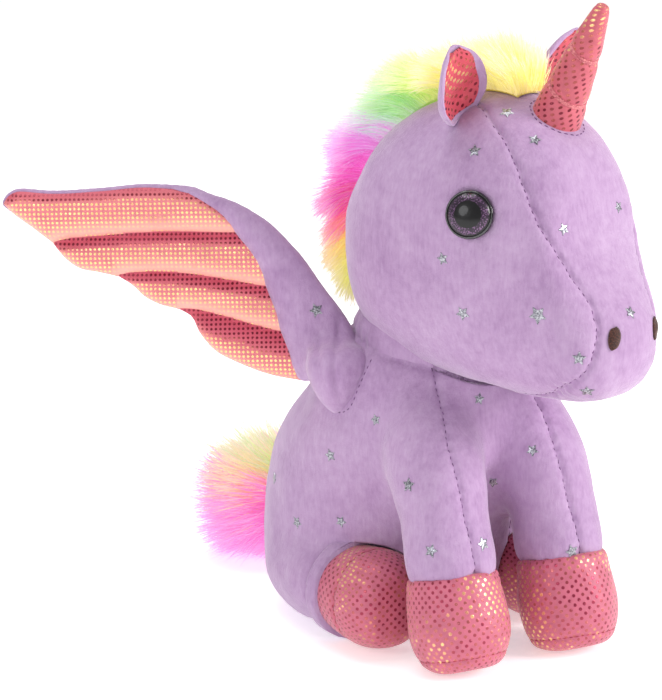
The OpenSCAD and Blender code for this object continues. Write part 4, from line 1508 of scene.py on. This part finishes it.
def strands(name, roots, first, last, length, width, zone, mat, body_name, replaces=(), droop=0.0,
            seed=1, steps=6):
    """Ribbons of fibre from each root: they leave along first, end along last, and taper to a point."""
    rng = np.random.default_rng(seed)
    n = len(roots)
    t = np.linspace(0, 1, steps + 1)[None, :, None]
    length = length[:, None, None]
    mid = roots[:, None] + first[:, None] * length * 0.45
    end = mid + last[:, None] * length * 0.6 - UP * droop * length
    line = (1 - t) ** 2 * roots[:, None] + 2 * t * (1 - t) * mid + t * t * end
    ahead = unit(2 * (1 - t) * (mid - roots[:, None]) + 2 * t * (end - mid) + 1e-6)
    flat = unit(np.cross(ahead, rng.standard_normal((n, 1, 3)) + 1e-6))
    curl = 0.35 * np.sin(t * rng.uniform(3, 8, (n, 1, 1)) + rng.uniform(0, 6, (n, 1, 1))) * t
    line = line + np.cross(ahead, flat) * curl
    half = (width / 2) * (1 - 0.35 * t) * np.minimum(1, (1.02 - t) * 5) * rng.uniform(0.7, 1.3, (n, 1, 1))
    a, b = line - flat * half, line + flat * half
    verts = np.stack([a, b], 2).reshape(-1, 3)
    k = (np.arange(n)[:, None] * (steps + 1) + np.arange(steps)[None]).ravel() * 2
    faces = np.stack([k, k + 1, k + 3, k + 2], -1)
    o = make(name, verts, faces)
    set_points(o, "run", np.repeat(np.tile(t.ravel(), n), 2))
    set_points(o, "zone", np.repeat(zone, (steps + 1) * 2))
    return finished(o, mat, body_name, replaces)


def head_ridge(n):
    """Middle line of the mane on the back of the head, from the forelock over to the nape, in head axes."""
    top = [[r[0], r[2]] for r in HEAD_RINGS if r[0] <= 44][::-1]
    line = [[-f, z] for f, z in top] + [[40.5, 155], [39.5, 146], [37, 138]]
    line = resampled(line, 400)
    keep = np.concatenate([[0], np.cumsum(np.linalg.norm(np.diff(line, axis=0), axis=1))])
    start = float(np.interp(-36, line[:, 0], keep))
    s = np.linspace(start, keep[-1], n)
    return np.stack([np.interp(s, keep, line[:, k]) for k in (0, 1)], -1)


def mane():
    rng = np.random.default_rng(5)
    n = 36000
    ridge = head_ridge(600)
    pick = rng.uniform(0, 599, n)
    share = pick / 599
    yz = np.stack([np.interp(pick, np.arange(600), ridge[:, k]) for k in (0, 1)], -1)
    half = 7.5 + 1.5 * np.sin(share * 3)
    across = rng.uniform(-1, 1, n) * half
    tangent = unit(np.stack([0 * pick, np.interp(pick, np.arange(600), np.gradient(ridge[:, 0])),
                             np.interp(pick, np.arange(600), np.gradient(ridge[:, 1]))], -1))
    start = np.column_stack([across, yz])
    roots, norm = np.zeros((n, 3)), np.zeros((n, 3))
    for i in range(n):
        roots[i], norm[i] = on_surface(head_tree, start[i])
    clump = np.stack([wobble(roots, 4.2, seed) for seed in (61, 62, 63)], -1)
    loose = rng.standard_normal((n, 3))
    side = np.column_stack([across / 9, 0 * across, 0 * across])
    first = unit(norm * 1.0 + tangent * 0.35 + side * 0.35 + clump * 0.26 + loose * 0.11)
    last = unit(norm * 0.55 + tangent * 0.9 + side * 0.75 + clump * 0.5 + loose * 0.17 + UP * 0.15)
    length = (21 + 4.5 * wobble(roots, 6, 64)
              + rng.normal(0, 2.2, n)) * curve([0, 0.06, 0.3, 0.8, 1], [0.75, 0.95, 1.0, 0.88, 0.66], share)
    zone = share + 0.022 * rng.standard_normal(n) + 0.03 * wobble(roots, 5, 65)
    roots = roots + norm * 1.2
    zones = np.clip(zone, 0, 1)
    cuts = [(-1, 0.27), (0.27, 0.5), (0.5, 0.75), (0.75, 2)]
    for k, (low, high) in enumerate(cuts):
        m = (share >= low) & (share < high)
        strands(f"mane_fur_{k + 1}", from_head(roots[m]), head_dir(first[m]), head_dir(last[m]), length[m],
                0.3, zones[m],
                mane_fur, "head", ["mane_pile"] if k == 0 else (), 0.05, 70 + k)
    rows = []
    for y, z in ridge[::6]:
        line = []
        for x in np.linspace(-6.6, 6.6, 13):
            q, nn = on_surface(head_tree, (x, y, z))
            line.append(q + nn * (0.3 + 0.5 * (1 - (x / 6.6) ** 6)))
        rows.append(line)
    grid = np.array(rows)
    strip = make("mane_backing_strip", from_head(grid.reshape(-1, 3)), grid_faces(*grid.shape[:2]))
    finished(strip, knit, "head", ["mane_backing"])


def knitted():
    m = Nodes("fur_backing_knit")
    at = m.place()
    rows = m.noise(m.mapped(at, scale=(1, 0.3, 1)), 900, 2, 0.5)
    m.surface(Base_Color=m.ramp(rows, [(0.3, srgb(196, 176, 96)), (0.7, srgb(236, 224, 150))]),
              Roughness=0.85)
    m.surface(Normal=m.bump(rows, 0.25, 0.8), Sheen_Weight=0.3, Sheen_Roughness=0.5)
    return m.mat


knit = knitted()
YELLOW, GREEN, PINK = srgb(252, 244, 150), srgb(176, 230, 146), srgb(246, 104, 214)
mane_fur = fur("fur_mane", [
    (0.0, YELLOW), (0.22, YELLOW), (0.32, srgb(216, 244, 130)), (0.42, GREEN), (0.5, srgb(214, 232, 224)),
    (0.56, srgb(240, 160, 234)), (0.66, PINK), (0.76, srgb(240, 72, 190)), (0.83, srgb(255, 160, 140)),
    (0.9, srgb(255, 240, 130)), (1.0, srgb(246, 246, 150)),
], srgb(255, 246, 255), 0.5)
tail_fur = fur("fur_tail", [
    (0.0, srgb(236, 160, 234)), (0.3, srgb(248, 120, 216)), (0.56, srgb(250, 100, 200)),
    (0.68, srgb(250, 220, 150)), (0.8, srgb(220, 240, 160)), (1.0, srgb(160, 224, 130)),
], srgb(252, 214, 240), 0.5)
mane()


def tail():
    rng = np.random.default_rng(9)
    a, e = math.radians(24), math.radians(-95)
    turn = np.array([[math.cos(a), -math.sin(a), 0], [math.sin(a), math.cos(a), 0], [0, 0, 1]])
    tip = np.array([[1, 0, 0], [0, math.cos(e), -math.sin(e)], [0, math.sin(e), math.cos(e)]])
    place = turn @ tip

    def at(v):
        return np.asarray(v, float) @ place.T + vec(0, 57, 27)

    core = tube(lathe([[0.02, -1], [3.4, -0.6], [4.4, 1.5], [4.6, 6], [4.5, 13], [3.6, 17.5], [1.8, 19.6],
                       [0.02, 20]], 28, 30))
    finished(make("tail_core_roll", at(core[0]), core[1]), side_plush, "tail", ["tail_core"])
    n = 15000
    s = rng.uniform(0.5, 19.5, n)
    th = rng.uniform(0, 2 * math.pi, n)
    r = np.interp(s, [0, 5, 14, 20], [4.2, 4.6, 4.4, 0.5])
    roots = np.column_stack([r * np.cos(th), r * np.sin(th), s])
    radial = np.column_stack([np.cos(th), np.sin(th), 0 * th])
    clump = np.stack([wobble(roots * 2.2, 4, seed) for seed in (81, 82, 83)], -1)
    loose = rng.standard_normal((n, 3))
    ahead = vec(0, 0, 1)
    first = unit(radial * 0.9 + ahead * 0.75 + clump * 0.3 + loose * 0.15)
    last = unit(radial * 0.3 + ahead * 1.0 + clump * 0.42 + loose * 0.2)
    length = (33 + 4 * clump[:, 0] + rng.normal(0, 3, n)) * np.interp(s, [0, 20], [0.85, 1.12])
    lift = at(radial)[:, 2] - 27 + 0.25 * clump[:, 1]
    zone = np.clip(0.4 + 0.03 * rng.standard_normal(n) + 0.46 * np.maximum(lift, 0) - 0.3
                   * np.maximum(-lift, 0), 0, 1)
    p = at(roots)
    d1, d2 = first @ place.T, last @ place.T
    end = p + d1 * length[:, None] * 0.45 + d2 * length[:, None] * 0.6
    d2[:, 2] += np.maximum(1.5 - end[:, 2], 0) / (length * 0.6)
    for k in range(2):
        m = (np.arange(n) % 2) == k
        strands(f"tail_fur_{k + 1}", p[m], d1[m], d2[m], length[m], 0.36, zone[m], tail_fur, "tail",
                ["tail_pile"] if k == 0 else (), 0.0, 90 + k)


tail()


# ---------------------------------------------------------------- silver stars and the last seams

BODY_STARS = [
    (-37.6, -44.5, 88.9), (-5.3, -66.3, 97.3), (-46.4, -26.1, 72.1), (-47.3, 14.4, 54.1), (-49.7, -6.8, 41.5),
    (-43.2, -29, 46.4), (-40.8, -71.1, 70.5), (-38.6, -84, 48.3), (-19.9, -90.2, 49.6), (10.8, -77.5, 77.9),
    (4.1, -62.1, 64.5), (19.5, -92.4, 40.7),
]
HEAD_STARS = [
    (-31.8, -36.6, 194.6), (-41.2, -30.1, 155.4), (-38.6, -37.6, 135.9), (-29.4, -64.7, 137.8),
    (-16.4, -38.9, 207.2), (-17.8, -53.2, 198.7), (-18.9, -68.9, 168.3), (-23, -79, 123.2),
    (-1.7, -85.9, 138.3), (-17.1, -78.3, 109.6), (11.9, -69.1, 172.2), (30.3, -26.5, 196.7),
]


def scattered(tree, centre, radius, known, seen, apart, count, seed):
    """More places on a surface, away from the known ones and on the sides that seen() leaves out."""
    rng = np.random.default_rng(seed)
    kept = [on_surface(tree, q) for q in known]
    for _ in range(4000):
        if len(kept) >= count + len(known):
            break
        p, n = on_surface(tree, vec(*centre) + radius * unit(rng.standard_normal(3)))
        if not seen(p, n) and min(np.linalg.norm(p - q) for q, _ in kept) > apart:
            kept.append((p, n))
    return kept


def stars(name, places, body_name, seed, to_row=lambda p: p, big=None):
    rng = np.random.default_rng(seed)
    verts, faces = [], []
    for i, (p, n) in enumerate(places):
        across = unit(np.cross(n, rng.standard_normal(3)))
        up = np.cross(n, across)
        size = rng.uniform(2.4, 3.0) if i != big else 3.7
        a = np.arange(10) * math.pi / 5
        r = np.where(np.arange(10) % 2 == 0, size, 0.5 * size)
        rim = (r * np.cos(a))[:, None] * across + (r * np.sin(a))[:, None] * up
        sag = (r * r / 90)[:, None] * n
        low, high = p + rim + n * 0.02 - sag, p + rim * 0.94 + n * 0.22 - sag
        k = len(verts)
        verts += [*low, *high, p + n * 0.34]
        faces += [[k + j, k + (j + 1) % 10, k + 10 + (j + 1) % 10, k + 10 + j] for j in range(10)]
        faces += [[k + 10 + j, k + 10 + (j + 1) % 10, k + 20] for j in range(10)]
    o = make(name, to_row(np.array(verts)), faces, False)
    finished(o, star_foil, body_name)


def towards_camera(p, n):
    return n @ vec(-0.52, -0.83, 0.22) > 0.05 or p[2] < 30 or n[2] < -0.4


def taken_on_head(p, n):
    """Where the head has its known stars, its mane or its neck."""
    return towards_camera(head_dir(n), n) or (abs(p[0]) < 14 and p[1] > -40) or n[1] > 0.8


on_body = scattered(body_tree, (0, -10, 65), 60, BODY_STARS, towards_camera, 17, 26, 3)
stars("body_stars", on_body, "torso", 4)
on_head = scattered(head_tree, (0, -25, 160), 60, HEAD_STARS, taken_on_head, 17, 16, 5)
stars("head_stars", on_head, "head", 6, from_head, 3)
for (side_name, side), tree in zip(SIDES, arm_trees):
    stars(f"{side_name}_wing_star", [on_surface(tree, vec(side * 45, -15.4, 126.3))], f"{side_name}_wing", 8)


def traced(tree, line, n=40):
    got = [on_surface(tree, q) for q in resampled(line, n)]
    return np.array([g[0] for g in got]), np.array([g[1] for g in got])


WING_VEE = [
    [50.9, -25.5, 96.3], [48, -24.5, 91.5], [45.4, -25.3, 88.9], [43.8, -28, 89], [42.7, -31.6, 90.7],
    [40.7, -35.4, 99.7], [37.8, -36.5, 106.5], [34.9, -36.8, 110.8],
]
for side_name, side in SIDES:
    vee = traced(body_tree, np.array(WING_VEE) * vec(side, 1, 1))
    stitched(f"{side_name}_wing_seam_stitches", [vee], 2.6, 1.6, 0.2, seam_thread, "torso")


# ---------------------------------------------------------------- camera, light and floor


def light(name, at, aim, size, power, colour=(1, 1, 1)):
    d = bpy.data.lights.new(name, "AREA")
    d.shape, d.size, d.energy, d.color = "DISK", size, power, colour
    o = bpy.data.objects.new(name, d)
    o.location = at
    o.rotation_mode = "QUATERNION"
    o.rotation_quaternion = (Vector(at) - Vector(aim)).to_track_quat("Z", "Y")
    scene.collection.objects.link(o)


light("key", (1.15, -1.25, 0.8), (0, 0, 0.1), 0.8, 27, (1, 0.985, 0.97))
light("left", (-1.5, -0.5, 0.8), (-0.03, 0, 0.1), 0.9, 7, (0.97, 0.98, 1))
light("top", (-0.1, 0.35, 1.7), (0, 0, 0.1), 1.2, 13)

world = bpy.data.worlds.new("studio")
world.use_nodes = True
world.node_tree.nodes["Background"].inputs[0].default_value = (1, 0.995, 0.99, 1)
world.node_tree.nodes["Background"].inputs[1].default_value = 0.5
scene.world = world

floor = make("floor", [(-9000, -9000, 0), (9000, -9000, 0), (9000, 9000, 0), (-9000, 9000, 0)],
             [[0, 1, 2, 3]], False)
paper = Nodes("white_sweep")
grain = paper.noise(paper.place(), 300, 2)
paper.surface(Base_Color=paper.mix(grain, (0.93, 0.93, 0.93), (0.95, 0.95, 0.95)), Roughness=0.9,
              Specular_IOR_Level=0.1,
              Emission_Color=(1, 0.995, 0.99, 1), Emission_Strength=0.44)
floor.data.materials.append(paper.mat)

azimuth, elevation = math.radians(-32), math.radians(13)
back = Vector((math.sin(azimuth) * math.cos(elevation), -math.cos(azimuth) * math.cos(elevation),
               math.sin(elevation)))
camera = bpy.data.objects.new("camera", bpy.data.cameras.new("camera"))
camera.data.sensor_width = 36
camera.data.lens = 154.2
camera.location = Vector((-0.0479, -0.030, 0.1141)) + back * 1.119
camera.rotation_mode = "QUATERNION"
camera.rotation_quaternion = back.to_track_quat("Z", "Y")
scene.collection.objects.link(camera)
scene.camera = camera
scene.view_settings.view_transform = "Standard"
